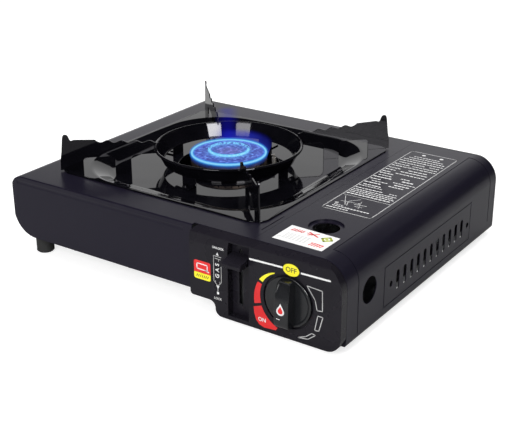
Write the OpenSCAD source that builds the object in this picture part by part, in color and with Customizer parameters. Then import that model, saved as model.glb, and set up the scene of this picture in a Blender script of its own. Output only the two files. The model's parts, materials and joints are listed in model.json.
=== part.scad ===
// Portable butane stove with a side cartridge bay, on a table at z = 0.
// +X is the cartridge side, -Y the front with the knob, +Z up. Millimetres.
// The origin is under the middle of the whole stove, knob included.

/* [Body] */
// Width of the body
body_w = 343; // [338:1:352]
// Room between the cartridge's end and the back sheet's outside
back_room = 31; // [29:0.5:36]
// Height of the top plate above the table
top_z = 75; // [74.5:0.5:80]
// Height of the burner side's underside
floor_z = 18.5; // [17:0.5:19.5]
// Height of the cartridge side's underside
bay_z = 5; // [4.5:0.1:5.4]
// Thickness of the steel sheet
sheet = 0.8; // [0.6:0.05:0.85]
// Radius of the bend between the top plate and the front or back
edge_r = 1.2; // [1:0.1:3]
// Radius of the body's upper left corner
corner_r = 13; // [6:1:16]
// Radius of the body's lower left corner
belly_r = 24; // [18:1:28]
// Distance of the groove below the top plate, on the front
groove_drop = 4.8; // [4:0.2:6]

/* [Cartridge bay] */
// Width of the lid across the top
lid_w = 84; // [83.5:0.5:86]
// Radius of the lid's shoulder
shoulder_r = 22; // [18:1:23]
// Diameter of the cartridge that fits
cartridge_d = 66; // [64:0.5:66.5]
// Length of the cartridge that fits
cartridge_l = 185; // [180:1:187]
// Diameter of the lid's view holes
lid_hole_d = 22; // [16:1:24]
// Number of vent slots in the lid's side
vent_n = 11; // [5:1:11]
// Width of a vent slot
vent_w = 5.2; // [3:0.2:5.6]
// Diameter of the lid's hinge pins
hinge_pin_d = 3; // [2.4:0.2:3.4]

/* [Control panel] */
// How far the panel stands out of the front sheet
panel_proud = 4; // [3.5:0.5:5]
// Distance of the panel's left edge from the body's right side
panel_w = 140.5; // [138:0.5:150]
// Wall of the plastic panel
panel_wall = 2; // [1.6:0.2:2.4]
// Distance of the knob's axis left of the cartridge's axis
knob_side = 4.5; // [3:0.1:5]
// Distance of the knob's axis below the cartridge's axis
knob_down = 5.4; // [5:0.1:6]
// Diameter of the knob's disc
knob_d = 41.4; // [36:0.2:43]
// Width of the knob's grip
grip_w = 11; // [8:0.5:14]
// How far the grip stands out of the disc
grip_h = 10.3; // [8:0.1:12]
// Height of the lock lever's handle above the table, unlocked
lever_z = 57; // [56:0.5:58]
// Travel of the lock lever
lever_travel = 36; // [30:1:38]

/* [Pan support] */
// Distance of the tray from the body's left side
tray_left = 30.3; // [28:0.1:33]
// Distance of the tray from the lid
tray_right = 9.7; // [9:0.1:14]
// Distance of the tray from the front sheet
tray_front = 28.1; // [26:0.1:30]
// Depth of the tray's floor below the top plate
tray_drop = 5.7; // [5:0.1:6.2]
// Width of the tray's sloping wall, seen from above
dish_slope = 16.7; // [12:0.1:18]
// Corner radius of the tray's dish
dish_r = 60; // [50:1:66]
// Outer radius of the pan ring's rim
ring_r = 68; // [64:0.5:70]
// Height of the pan ring's rim above the tray's floor
ring_h = 21.1; // [19:0.1:23]
// How far the pan supports reach past the tray's corners
fin_over = 3; // [1:0.5:5]
// Height of the pan supports above the tray's floor, where a pan rests
fin_h = 33.6; // [32:0.1:37]
// Thickness of the pan supports
fin_t = 1.2; // [1:0.1:2]

/* [Burner and gas] */
// Radius of the burner's cap
cap_r = 35; // [34:0.5:38]
// Room between the burner's cap and the hole in the tray
well_gap = 11; // [10:0.5:13]
// Number of flame ports round the cap
port_n = 36; // [24:2:48]
// Room between the mixing tube's socket and the base pan
tube_lift = 2.7; // [1.5:0.1:4]
// Outer radius of the mixing tube
tube_r = 9; // [8:0.5:10]
// Outer radius of the gas pipe
pipe_r = 3; // [2:0.2:3]
// Radius of the pressure regulator
regulator_r = 19; // [18:0.5:20]

/* [Hidden] */
$fn = 48;

// Small clearances shared by the whole stove
eps = 0.01;        // overlap of a cut with a face
fit = 0.2;         // between sheets that nest
gap = 0.3;         // between pieces that move past each other
play = 0.06;       // round a shaft in its bore

// Outline of the body
cart_front = 62;                               // cartridge's valve end, unlocked
body_d = cart_front + cartridge_l + back_room; // front sheet to back sheet
disc_h = 1;                                    // knob's disc in front of the panel
stack = panel_proud + disc_h + grip_h;         // everything in front of the front sheet
y_front = (stack - body_d) / 2;
x_left = -body_w / 2;
x_right = body_w / 2;
seam_x = x_right - lid_w;                      // where the top plate meets the lid
panel_x = x_right - panel_w;                   // left edge of the panel
step_x = panel_x + 23;                         // where the underside drops to the bay
side_r = 1.2;                                  // vertical corners on the left
bay_corner_r = 4;                              // lower right corner of the bay
liner = 2 * sheet + fit;                       // inset of the pan's inner face
pan_top = bay_z + liner;                       // bay floor
box_top = floor_z + liner;                     // burner side's floor
flange = 10;                                   // bottom flange of the shell
back_rim = 3;                                  // rim of the back sheet round the bay
groove_r = 6;                                  // hollow of the groove on the front
groove_deep = 0.4;
crease_w = 1;                                  // creases pressed into the sheet
crease_deep = 0.35;
short_x = seam_x - 4.6;                        // crease on the top, beside the lid
short_line = [21.5, 53.5];                     // its depths
panel_wrap = 4;                                // panel's side walls behind the front sheet
bulk_d = 7.2;                                  // bulkhead behind the front sheet
bulk_back = bulk_d + sheet;

function Y(d) = y_front + d;                   // depth behind the front sheet

// Lid hinge
hinge_x = x_right - 5;
hinge_z = bay_z + 4.5;
hinge_r = hinge_pin_d / 2;
ear_r = 3.5;                                   // ear of the bulkhead round the pin
sweep_r = 7.2;                                 // room for the lid's lower edge
lug_t = 1.2;
lug_play = 0.4;                                // along the pin
lid_front = panel_wrap + gap;
lid_back = body_d - back_rim - gap;
pan_right = hinge_x - sweep_r;

// Tray and burner axis
tray_t = 0.8;
tray_size = body_w - lid_w - tray_left - tray_right;
bx = x_left + tray_left + tray_size / 2;
by = Y(tray_front + tray_size / 2);
lip_w = 4;
lip_z = top_z + fit + tray_t;                  // top of the tray's lip
flat_z = top_z - tray_drop;                    // top of the tray's floor
dish_half = tray_size / 2 - lip_w;             // half of the dish at the lip
floor_half = dish_half - dish_slope;           // half of the dish at its floor
tray_r = 14;                                   // corners of the lip
well_r = cap_r + well_gap;
fin_reach = tray_size / 2 * sqrt(2) - tray_r * (sqrt(2) - 1) + fin_over;

// Cartridge and its valve
cart_x = (seam_x + x_right) / 2;
cart_z = pan_top + 0.6 + cartridge_d / 2;
knob_x = cart_x - knob_side;
knob_z = cart_z - knob_down;
spindle_r = 3;
cam_d = 10.5;                                  // cam behind the front sheet
cam_t = 3;
cam_r = 7;
cam_lift = 4;
knob_turn = 150;
reg_d = 20;                                    // regulator's front face
reg_l = 24;
socket_l = 10;
plunger_r = 1.6;
plunger_gap = 0.6;
plunger_z = knob_z + cam_r + plunger_gap;
igniter_z = knob_z + 16;
igniter_room = 4;                              // between the igniter and the top
igniter_h = top_z - igniter_room - igniter_z;

// Lever, crank and push arm
channel_x = seam_x - 19;
channel_w = 20;
channel_z0 = 6.5;
channel_z1 = top_z - 5.5;
channel_floor = 1.3;
floor_d = panel_wrap - channel_floor;           // channel floor behind the front sheet
lever_x = channel_x + 8.3;
slot_w = 4;
part_x = seam_x - 2 - sheet;                   // left face of the partition
crank_t = 1.5;
crank_x = part_x - 0.6 - crank_t;
tab_t = 1.2;
tab_x = crank_x - 1.5 - tab_t;
pin_r = 2;
arm_a = 30;                                    // crank pivot to lever pin, along Y
arm_b = 10;                                    // crank pivot to push arm pin, along Z
lever_pin_d = 18;
pivot_d = lever_pin_d + arm_a;
pivot_z = lever_z - lever_travel / 2;
crank_tilt = atan(lever_travel / 2 / arm_a);
push_travel = lever_travel * arm_b / arm_a;
push_pin_d = pivot_d + push_travel / 2;
push_z = pivot_z + arm_b;
push_x = part_x + sheet + gap;
push_t = 1.2;
push_h = 12;
plate_d = cart_front + cartridge_l + 3;
plate_half = 20;
guides = [95, 150, 205];                       // depths of the push arm's guides
saddles = [100, 215];                          // depths of the cartridge saddles

// Gas path
tube_z = box_top + tube_lift + tube_r + 2;     // mixing tube's axis
pipe_z = 23;
pipe_d = 39;
elbow = [part_x - 11, Y(pipe_d)];
aim = atan2(by - elbow[1], bx - elbow[0]);     // mixing tube, seen from above
aim_l = norm([bx - elbow[0], by - elbow[1]]);
jet_from = 9;
jet_l = 10;
tube_from = 22;
socket_r0 = 30;                                // burner socket's reach from the axis
electrode_a = 32;
electrode_r = cap_r + 6.4;

// Igniter lead: its bends right of and in front of the burner's axis
lead_r = 1.1;
lead_x1 = 78;
lead_y1 = 70;
lead_x2 = 56;
lead_y2 = 20;

// Feet and fasteners
foot_r = 8;
foot_x = 20;
foot_y = 15.4;
short_r = 6;
screw_r = 1.5;
head_r = 3;
head_h = 1.6;
screw_in = 5;                                  // base screws from the front and back
screw_side = 70;                               // and from the left side and the panel
screw_d = 60;                                  // base screws beside the belly, from the front
bracket_l = 44;                                // half of the burner's bracket
bracket_hole = 36;
pan_vent_l = 44;
pan_vent_w = 6;
pan_vent_pitch = 22;

// ---------- helpers ----------

// cuts one corner of a box to radius r; sx and sz point into the box
module corner_cut(x, z, sx, sz, r) {
    e = 1;
    if (r > 0)
        difference() {
            translate([min(x - sx * e, x + sx * r), min(z - sz * e, z + sz * r)]) square(r + e);
            translate([x + sx * r, z + sz * r]) circle(r);
        }
}

// box with its own radius at each corner: lower left, lower right, upper right, upper left
module rbox(x0, z0, x1, z1, r = [0, 0, 0, 0]) {
    difference() {
        translate([x0, z0]) square([x1 - x0, z1 - z0]);
        corner_cut(x0, z0, 1, 1, r[0]);
        corner_cut(x1, z0, -1, 1, r[1]);
        corner_cut(x1, z1, -1, -1, r[2]);
        corner_cut(x0, z1, 1, -1, r[3]);
    }
}

// a square round the origin, seen from above
module rsquare(half, r) {
    rbox(-half, -half, half, half, [r, r, r, r]);
}

// a front view swept from depth d0 to d1 behind the front sheet
module sweep_y(d0, d1) {
    translate([0, Y(d1), 0]) rotate([90, 0, 0]) linear_extrude(d1 - d0) children();
}

// a side view (depth, height) swept from x0 to x1
module sweep_x(x0, x1) {
    translate([x0, 0, 0]) rotate([90, 0, 90]) linear_extrude(x1 - x0) children();
}

// a block between two corners, y given as depth behind the front sheet
module block(x0, x1, d0, d1, z0, z1) {
    translate([x0, Y(d0), z0]) cube([x1 - x0, d1 - d0, z1 - z0]);
}

// a rod along Y
module rod_y(x, z, r, d0, d1) {
    sweep_y(d0, d1) translate([x, z]) circle(r);
}

// a rod along X, d is its depth
module rod_x(x0, x1, d, z, r) {
    sweep_x(x0, x1) translate([Y(d), z]) circle(r);
}

// a straight rod between two points
module rod(a, b, r) {
    v = b - a;
    translate(a)
        rotate([0, acos(v[2] / norm(v)), atan2(v[1], v[0])]) cylinder(r = r, h = norm(v));
}

// a slot with round ends, w wide, along X or Z of a 2D view
module slot2(x, z0, z1, w) {
    translate([x - w / 2, z0 + w / 2]) square([w, z1 - z0 - w]);
    translate([x, z0 + w / 2]) circle(w / 2);
    translate([x, z1 - w / 2]) circle(w / 2);
}

// front outline of the whole body, inset by i
module body_profile(i = 0) {
    rbox(x_left + i, floor_z + i, x_right - i, top_z - i,
        [belly_r - i, 0, shoulder_r - i, corner_r - i]);
    rbox(step_x + i, bay_z + i, x_right - i, floor_z + shoulder_r,
        [0, bay_corner_r - i, 0, 0]);
}

// the body as a block, inset by i
module body_block(i = 0) {
    intersection() {
        sweep_y(i, body_d - i) body_profile(i);
        sweep_x(x_left, x_right)
            rbox(Y(i), 0, Y(body_d - i), top_z - i, [0, 0, edge_r - i, edge_r - i]);
        linear_extrude(top_z)
            rbox(x_left + i, Y(i), x_right, Y(body_d - i), [side_r - i, 0, 0, side_r - i]);
    }
}

// ---------- housing ----------

module body_shell() {
    color([0.17, 0.17, 0.19]) difference() {
        body_block();
        body_block(sheet);
        // opening for the tray's dish
        translate([bx, by, top_z - edge_r - sheet])
            linear_extrude(edge_r + 2 * sheet) rsquare(dish_half + 1, dish_r + 1);
        // opening of the underside, closed by the base pan
        block(x_left + belly_r + flange, x_right, flange, body_d - flange, 0, box_top);
        // cartridge bay
        block(seam_x, x_right + 1, -1, body_d - back_rim, 0, top_z + 1);
        // seat of the control panel
        block(panel_x, x_right + 1, -1, panel_wrap + fit, -1, top_z + 1);
        block(panel_x, seam_x + 1, -1, flange + 1, -1, box_top);
        // groove under the front edge and crease beside the tray
        rod_x(x_left + 7, panel_x - 9, groove_deep - groove_r, top_z - groove_drop - 1.1, groove_r);
        block(short_x, short_x + crease_w, short_line[0], short_line[1],
            top_z - crease_deep, top_z + 1);
    }
}

module base_pan() {
    color([0.32, 0.33, 0.35]) {
        difference() {
            body_block(sheet + fit);
            body_block(liner);
            block(x_left - 1, step_x - 5, -1, body_d + 1, floor_z + 14, top_z + 1);
            block(step_x - 5, x_right + 1, -1, body_d + 1, floor_z + 8, top_z + 1);
            block(panel_x - 2, x_right + 1, -1, bulk_back, -1, top_z + 1);
            block(pan_right, x_right + 1, -1, body_d + 1, -1, top_z + 1);
            // vents under the burner
            for (k = [-2:2]) translate([bx + pan_vent_pitch * k, by, floor_z])
                linear_extrude(4 * sheet) slot2(0, -pan_vent_l / 2, pan_vent_l / 2, pan_vent_w);
        }
        // right wall keeps the cartridge in
        block(pan_right - sheet, pan_right, bulk_back + 1, body_d - liner, pan_top, pan_top + 8);
    }
}

// front outline of the panel, inset by i
module panel_outline(i = 0) {
    low_z = bay_z - 2;
    mid_z = floor_z - 3;
    r = 6;
    rbox(panel_x + i, mid_z + i, x_right - i, top_z - 0.4 - i,
        [3 - i, 0, shoulder_r - i, r - i]);
    rbox(panel_x + 25 + i, low_z + i, x_right - i, floor_z + shoulder_r,
        [r - i, 13 - i, 0, 0]);
    // hollow bend where the outline drops
    difference() {
        translate([panel_x + 25 + i - r - i, mid_z + i - r - i]) square(r + i + eps);
        translate([panel_x + 25 + i - r - i, mid_z + i - r - i]) circle(r + i);
    }
}

// side view of the panel: upright face, crowned top, inset by i
module panel_nose(i = 0) {
    face = -panel_proud + i;
    polygon([[Y(panel_wrap + 1), 0], [Y(face), 0], [Y(face), top_z - 12], [Y(face + 1.6), top_z - 4 - i],
        [Y(panel_wrap), top_z - 0.4 - i], [Y(panel_wrap + 1), top_z - 0.4 - i]]);
}

module panel_block(i = 0) {
    back = i > 0 ? panel_wrap + 1 : panel_wrap;
    intersection() {
        sweep_y(-panel_proud + i, back) panel_outline(i);
        sweep_x(panel_x, x_right) panel_nose(i);
    }
}

// places of the panel's posts, [x, z]
post_at = [[panel_x + 10, floor_z + 6], [panel_x + 10, top_z - 14], [seam_x + 9, top_z - 11],
    [x_right - 13, top_z - 18], [x_right - 17, bay_z + 11], [seam_x + 8, bay_z + 8]];

module front_panel() {
    recess_r = knob_d / 2 + 2;
    back = floor_d + channel_floor;
    color([0.11, 0.11, 0.13]) difference() {
        union() {
            difference() {
                panel_block();
                panel_block(panel_wall);
            }
            // walls of the lever channel
            block(channel_x - 1.5, channel_x + channel_w + 1.5, -panel_proud + panel_wall,
                back, channel_z0 - 1.5, channel_z1 + 1);
            // seat of the knob
            rod_y(knob_x, knob_z, recess_r + 1.6, -panel_proud + panel_wall - eps, -0.4);
            for (p = post_at) rod_y(p[0], p[1], 3, -panel_proud + panel_wall - eps, bulk_d);
        }
        rod_y(knob_x, knob_z, recess_r, -panel_proud - 1, -panel_proud + 1.8);
        rod_y(knob_x, knob_z, spindle_r + 1, -panel_proud, 1);
        block(channel_x, channel_x + channel_w, -panel_proud - 1, floor_d, channel_z0, channel_z1);
        sweep_y(floor_d - 1, back + 1)
            slot2(lever_x, lever_z - lever_travel - 6, lever_z + 7, slot_w);
        for (p = post_at) rod_y(p[0], p[1], screw_r - 0.3, 0, bulk_d + 1);
    }
}

module front_bulkhead() {
    color([0.45, 0.46, 0.48]) difference() {
        union() {
            difference() {
                sweep_y(bulk_d, bulk_back) intersection() {
                    body_profile(liner);
                    translate([panel_x + panel_wall, 0]) square([panel_w, top_z]);
                }
                // room for the lower edge of the lid
                sweep_y(bulk_d - 1, bulk_back + 1) {
                    translate([hinge_x, hinge_z]) circle(sweep_r);
                    translate([hinge_x, 0]) square([10, hinge_z]);
                    translate([hinge_x - sweep_r, 0]) square([2 * sweep_r, hinge_z - 3]);
                }
            }
            rod_y(hinge_x, hinge_z, ear_r, bulk_d, bulk_back);
            // neck of the ear
            sweep_y(bulk_d, bulk_back) translate([hinge_x - 2.5, hinge_z])
                square([5, sweep_r + 2]);
        }
        rod_y(hinge_x, hinge_z, hinge_r, bulk_d - 1, bulk_back + 1);
        rod_y(knob_x, knob_z, spindle_r + 1.5, bulk_d - 1, bulk_back + 1);
        // opening for the lever slider
        block(tab_x - 2, part_x, bulk_d - 1, bulk_back + 1,
            lever_z - lever_travel - 8, lever_z + 8);
        for (p = post_at) rod_y(p[0], p[1], screw_r, bulk_d - 1, bulk_back + 1);
        for (p = reg_posts()) rod_y(p[0], p[1], screw_r, bulk_d - 1, bulk_back + 1);
    }
}

module partition_wall() {
    top = top_z - sheet - gap;
    color([0.5, 0.51, 0.53]) {
        difference() {
            intersection() {
                block(part_x, part_x + sheet, bulk_back, body_d - liner, pan_top, top);
                body_block(sheet + gap);
            }
            // slot of the push arm's pin
            sweep_x(part_x - 1, part_x + sheet + 1)
                translate([Y(pivot_d), push_z]) rotate(90)
                    slot2(0, -push_travel / 2 - 3, push_travel / 2 + 3, 2 * pin_r + 1);
            rod_x(part_x - 1, part_x + sheet + 1, pivot_d, pivot_z, pin_r + 0.5);
            rod_x(part_x - 1, part_x + sheet + 1, pipe_d, pipe_z, pipe_r + 1.5);
            rod_x(part_x - 1, part_x + sheet + 1, lead_at[1][0], lead_at[1][1], 2.5);
            // slot of the heat panel
            block(part_x - 1, part_x + sheet + 1, by - y_front - heat_w / 2 - 0.5,
                by - y_front + heat_w / 2 + 0.5, heat_z - gap, heat_z + sheet + gap);
        }
        // ledge under the lid's edge
        block(part_x + sheet, seam_x + 4.5, bulk_back, lid_back - sheet - 1,
            top - sheet, top);
    }
}

heat_w = 26;
heat_drop = 5;                                 // heat panel below the tray
heat_tab = 1.2;                                // its bent end, right of the partition
heat_z = flat_z - tray_t - heat_drop;
electrode_hole = 12;                           // its hole round the electrode

module heat_panel() {
    x0 = bx + base_r - 1;
    y0 = by - heat_w / 2;
    tab_z = push_z + push_h / 2 + 3;
    color([0.62, 0.63, 0.65]) {
        difference() {
            translate([x0, y0, heat_z]) cube([part_x + sheet + heat_tab - x0, heat_w, sheet]);
            translate([bx, by, heat_z - 1]) cylinder(r = base_r + fit, h = sheet + 2);
            translate([bx + electrode_r * cos(electrode_a), by + electrode_r * sin(electrode_a),
                heat_z - 1]) cylinder(r = electrode_hole, h = sheet + 2);
        }
        translate([part_x + sheet, y0, tab_z]) cube([heat_tab, heat_w, heat_z - tab_z + eps]);
    }
}

// ---------- burner ----------

cap_z = flat_z + 3.5;                          // underside of the cap's rim
base_r = cap_r - 4;                            // burner base's rim
bowl_z = cap_z - 26;
foot_z = box_top + 1.6;                        // burner base's foot

module burner_base() {
    color([0.6, 0.6, 0.62]) translate([bx, by, 0]) difference() {
        union() {
            rotate_extrude() polygon([[0, foot_z], [15, foot_z], [15, bowl_z], [base_r, cap_z - 7],
                [base_r, cap_z], [0, cap_z]]);
            rotate([0, 90, aim + 180]) translate([-tube_z, 0, 0])
                cylinder(r = tube_r + 2, h = socket_r0);
        }
        rotate_extrude() polygon([[0, foot_z + 3], [12, foot_z + 3], [12, bowl_z + 1],
            [base_r - 3, cap_z - 6], [base_r - 3, cap_z + 1], [0, cap_z + 1]]);
        rotate([0, 90, aim + 180]) translate([-tube_z, 0, 0])
            cylinder(r = tube_r + play, h = socket_r0 + 1);
    }
}

module burner_cap() {
    in_r = 20;
    color([0.35, 0.34, 0.33]) translate([bx, by, 0]) difference() {
        rotate_extrude() polygon([[in_r, cap_z - 3], [in_r + 1.5, cap_z - 3], [in_r + 1.5, cap_z + 5],
            [base_r - 4.5, cap_z + 5], [base_r - 4.5, cap_z - 3], [base_r - 3 - play, cap_z - 3],
            [base_r - 3 - play, cap_z], [cap_r, cap_z], [cap_r, cap_z + 6], [cap_r - 1.5, cap_z + 7.5],
            [in_r + 2, cap_z + 8.5], [in_r, cap_z + 8]]);
        for (k = [0:port_n - 1]) rotate(k * 360 / port_n)
            translate([base_r - 5, -0.6, cap_z + 3]) cube([10, 1.2, 2]);
    }
}

module inner_cap() {
    r = 17;
    color([0.4, 0.38, 0.36]) translate([bx, by, 0]) difference() {
        union() {
            rotate_extrude() polygon([[0, cap_z + 5.5], [r - 2, cap_z + 5.5], [r - 2, cap_z],
                [r, cap_z], [r, cap_z + 7.5], [r - 2, cap_z + 9], [0, cap_z + 9.5]]);
            // spokes out to the bowl's wall, under the outer cap
            intersection() {
                translate([0, 0, cap_z - 5]) cylinder(r = base_r - 3, h = 2);
                for (a = [0:120:359]) rotate(a) translate([0, -2, cap_z - 5]) cube([base_r, 4, 2]);
            }
            translate([0, 0, cap_z - 5]) cylinder(r = 6, h = 11);
        }
        for (k = [0:15]) rotate(k * 22.5 + 11)
            translate([r - 3, -0.5, cap_z + 3]) cube([5, 1, 2]);
    }
}

module mixing_tube() {
    from = tube_from;
    to = aim_l - 14;
    color([0.66, 0.66, 0.68]) translate([elbow[0], elbow[1], tube_z]) rotate([0, 90, aim])
        difference() {
            union() {
                translate([0, 0, from]) cylinder(r = tube_r, h = to - from);
                // bell at the air inlet
                translate([0, 0, from]) cylinder(r = tube_r + 2, h = 6);
            }
            translate([0, 0, from - 1]) cylinder(r = tube_r - 1.2, h = to - from + 2);
            translate([0, 0, from - 1]) cylinder(r = tube_r, h = 4);
            // air holes
            for (a = [0:90:359]) rotate([0, 0, a]) translate([0, 0, from + 14])
                rotate([0, 90, 0]) cylinder(r = 2.6, h = tube_r + 2);
        }
}

module burner_bracket() {
    color([0.5, 0.5, 0.52]) translate([bx, by, box_top]) difference() {
        union() {
            cylinder(r = 22, h = foot_z - box_top);
            translate([-bracket_l, -9, 0]) cube([2 * bracket_l, 18, foot_z - box_top]);
        }
        for (s = [-1, 1]) translate([s * bracket_hole, 0, -1]) cylinder(r = screw_r, h = 5);
    }
}

// ---------- valve and igniter ----------

reg_post_a = [24, -36, 160];
function reg_posts() = [for (a = reg_post_a)
    [cart_x + (regulator_r - 3.2) * cos(a), cart_z + (regulator_r - 3.2) * sin(a)]];

module regulator_body() {
    back = reg_d + reg_l;
    color([0.72, 0.7, 0.62]) difference() {
        union() {
            rod_y(cart_x, cart_z, regulator_r, reg_d, back);
            rod_y(knob_x, knob_z, 6.5, reg_d - 2.5, reg_d + eps);
            rod_x(cart_x - regulator_r - 2, cart_x - 4, pipe_d, pipe_z, pipe_r + 2);
            for (p = reg_posts()) rod_y(p[0], p[1], 2.6, bulk_back, reg_d + eps);
        }
        rod_y(knob_x, knob_z, spindle_r + play, reg_d - 3, reg_d + 8);
        rod_x(cart_x - regulator_r - 3, cart_x - 6, pipe_d, pipe_z, pipe_r);
        for (p = reg_posts()) rod_y(p[0], p[1], screw_r - 0.4, bulk_back - 1, reg_d + 2);
    }
}

module diaphragm_cap() {
    z0 = cart_z + regulator_r - 2;
    r = 11;
    color([0.75, 0.74, 0.7]) translate([cart_x + 2, Y(reg_d + reg_l / 2 + 0.5), 0]) difference() {
        translate([0, 0, z0]) cylinder(r = r, h = 8);
        translate([-2, -reg_l, cart_z]) rotate([-90, 0, 0])
            cylinder(r = regulator_r, h = 2 * reg_l);
        rotate_extrude() polygon([[r - 3, z0 + 8 + eps], [r - 3, z0 + 6.5], [r - 5, z0 + 6.5],
            [r - 5, z0 + 8 + eps]]);
    }
}

module cartridge_socket() {
    back = reg_d + reg_l;
    color([0.8, 0.78, 0.7]) difference() {
        union() {
            rod_y(cart_x, cart_z, 15, back, back + 3);
            rod_y(cart_x, cart_z, 10, back, back + socket_l);
        }
        rod_y(cart_x, cart_z, 6, back + 3, back + socket_l + 1);
        // key notch for the cartridge's collar
        block(cart_x - 2, cart_x + 2, back - 1, back + 4, cart_z + 12, cart_z + 20);
    }
}

module socket_seal() {
    back = reg_d + reg_l + 3;
    color([0.1, 0.1, 0.1]) difference() {
        rod_y(cart_x, cart_z, 6, back, back + 2);
        rod_y(cart_x, cart_z, 2, back - 1, back + 3);
    }
}

module gas_pipe() {
    a = [cart_x - regulator_r + 4, Y(pipe_d), pipe_z];
    b = [elbow[0], elbow[1], pipe_z];
    c = [elbow[0], elbow[1], tube_z];
    d = c + jet_from * [cos(aim), sin(aim), 0];
    color([0.75, 0.6, 0.35]) {
        rod(a, b, pipe_r);
        translate(b) sphere(pipe_r);
        rod(b, c, pipe_r);
        translate(c) sphere(pipe_r);
        rod(c, d, pipe_r);
    }
}

module jet_nozzle() {
    color([0.78, 0.62, 0.3]) translate([elbow[0], elbow[1], tube_z]) rotate([0, 90, aim])
        difference() {
            union() {
                translate([0, 0, jet_from]) cylinder(r = 5, h = 5, $fn = 6);
                translate([0, 0, jet_from]) cylinder(r = 3.4, h = jet_l);
            }
            translate([0, 0, jet_from - 1]) cylinder(r = 0.5, h = jet_l + 2);
        }
}

module igniter_body() {
    hw = 7;
    color([0.86, 0.86, 0.84]) difference() {
        union() {
            block(knob_x - hw, knob_x + hw, bulk_back, bulk_back + 9, igniter_z, igniter_z + igniter_h);
            rod_x(knob_x - hw - 3, knob_x - hw, bulk_back + 5, igniter_z + igniter_h - 5, 2.4);
        }
        translate([knob_x, Y(cam_d + cam_t / 2), igniter_z - 1])
            cylinder(r = plunger_r + play, h = igniter_h - 5);
    }
}

// igniter lead: its points behind the front sheet, [depth, height] where it goes through the wall
lead_at = [[bulk_back + 5, igniter_z + igniter_h - 5], [bulk_back + 5, igniter_z + igniter_h - 5]];

module igniter_lead() {
    z0 = lead_at[0][1];
    y0 = Y(lead_at[0][0]);
    e = [bx + electrode_r * cos(electrode_a), by + electrode_r * sin(electrode_a)];
    pts = [[knob_x - 10 - lead_r, y0, z0], [part_x - 20, y0, z0], [bx + lead_x1, by - lead_y1, z0 - 8],
        [bx + lead_x2, by - lead_y2, heat_z - 10], [e[0] + 8, e[1] + 2, heat_z - 14],
        [e[0], e[1], electrode_z0 - lead_r]];
    color([0.75, 0.1, 0.08]) for (k = [0:len(pts) - 2]) hull()
        for (p = [pts[k], pts[k + 1]]) translate(p) sphere(lead_r, $fn = 8);
}

electrode_z0 = heat_z - 10;

module electrode() {
    color([0.92, 0.9, 0.86])
        translate([bx, by, 0]) rotate(electrode_a) {
            translate([electrode_r, 0, electrode_z0]) cylinder(r = 2, h = cap_z + 5 - electrode_z0);
            translate([electrode_r, 0, cap_z + 5 - eps]) cylinder(r = 0.7, h = 3);
            translate([electrode_r + 0.7, 0, cap_z + 7.3]) rotate([0, -90, 0])
                cylinder(r = 0.7, h = 3.4);
        }
}

module electrode_bracket() {
    z0 = cap_z - 8;
    color([0.6, 0.6, 0.62]) translate([bx, by, 0]) rotate(electrode_a) difference() {
        union() {
            translate([base_r - 8, -5, z0]) cube([electrode_r - base_r + 12, 10, 1]);
            translate([electrode_r, 0, z0 - 4]) cylinder(r = 3.4, h = 5);
        }
        translate([electrode_r, 0, z0 - 5]) cylinder(r = 2, h = 8);
        rotate_extrude() polygon([[0, bowl_z - 1], [15, bowl_z - 1], [15, bowl_z], [base_r, cap_z - 7],
            [base_r, cap_z], [0, cap_z]]);
    }
}

// ---------- bay and lever works ----------

module cartridge_saddles() {
    inner = pan_right - sheet;
    reach = inner - cart_x - gap;
    color([0.45, 0.46, 0.48]) for (d = saddles) difference() {
        union() {
            block(cart_x - reach, inner, d, d + 1.2, pan_top, pan_top + 9);
            block(cart_x - reach, inner, d, d + 9, pan_top, pan_top + 1.2);
        }
        rod_y(cart_x, cart_z, cartridge_d / 2 + 0.4, d - 1, d + 10);
        block(cart_x - 12, cart_x + 12, d - 1, d + 10, pan_top - 1, pan_top + 12);
    }
}

module slider_guides() {
    x0 = part_x + sheet;
    color([0.5, 0.5, 0.52]) for (d = guides) for (s = [-1, 1]) {
        near = push_z + s * (push_h / 2 + gap);
        far = near + s * 1.4;
        lip = push_z + s * (push_h / 2 - 2);
        block(x0, push_x + push_t + gap + 1, d, d + 12, min(near, far), max(near, far));
        block(push_x + push_t + gap, push_x + push_t + gap + 1, d, d + 12, min(lip, far), max(lip, far));
    }
}

module crank_pivot() {
    color([0.7, 0.7, 0.72]) {
        rod_x(crank_x - 1.4, part_x + sheet + 0.2, pivot_d, pivot_z, pin_r + 0.5);
        rod_x(crank_x - 1.4, crank_x - gap, pivot_d, pivot_z, pin_r + 2);
    }
}

module lever_handle() {
    w = channel_w - 2.4;
    mid = channel_x + channel_w / 2;
    tip = panel_proud + 10;
    color([0.1, 0.1, 0.11]) {
        // handle, drooping to its lip
        sweep_x(mid - w / 2, mid + w / 2)
            polygon([[Y(floor_d - gap), lever_z - 3], [Y(floor_d - gap), lever_z + 4],
                [Y(-panel_proud), lever_z + 3], [Y(-tip + 2), lever_z + 1.5], [Y(-tip), lever_z - 0.5],
                [Y(-tip), lever_z - 3], [Y(-tip + 1.5), lever_z - 4], [Y(-panel_proud - 3), lever_z - 3]]);
        // stem through the slot
        block(lever_x - slot_w / 2 + gap, lever_x + slot_w / 2 - gap, floor_d - gap - eps,
            floor_d + channel_floor + gap, lever_z - 3, lever_z + 4);
    }
}

module lever_slider() {
    d0 = floor_d + channel_floor + gap;
    color([0.6, 0.6, 0.62]) {
        block(lever_x - 6, tab_x + tab_t, d0, d0 + 1.2, lever_z - 7, lever_z + 8);
        block(tab_x, tab_x + tab_t, d0 + 1.2 - eps, lever_pin_d + 4, lever_z - 5, lever_z + 5);
        rod_x(tab_x + tab_t - eps, crank_x + crank_t + gap, lever_pin_d, lever_z, pin_r);
    }
}

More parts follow.
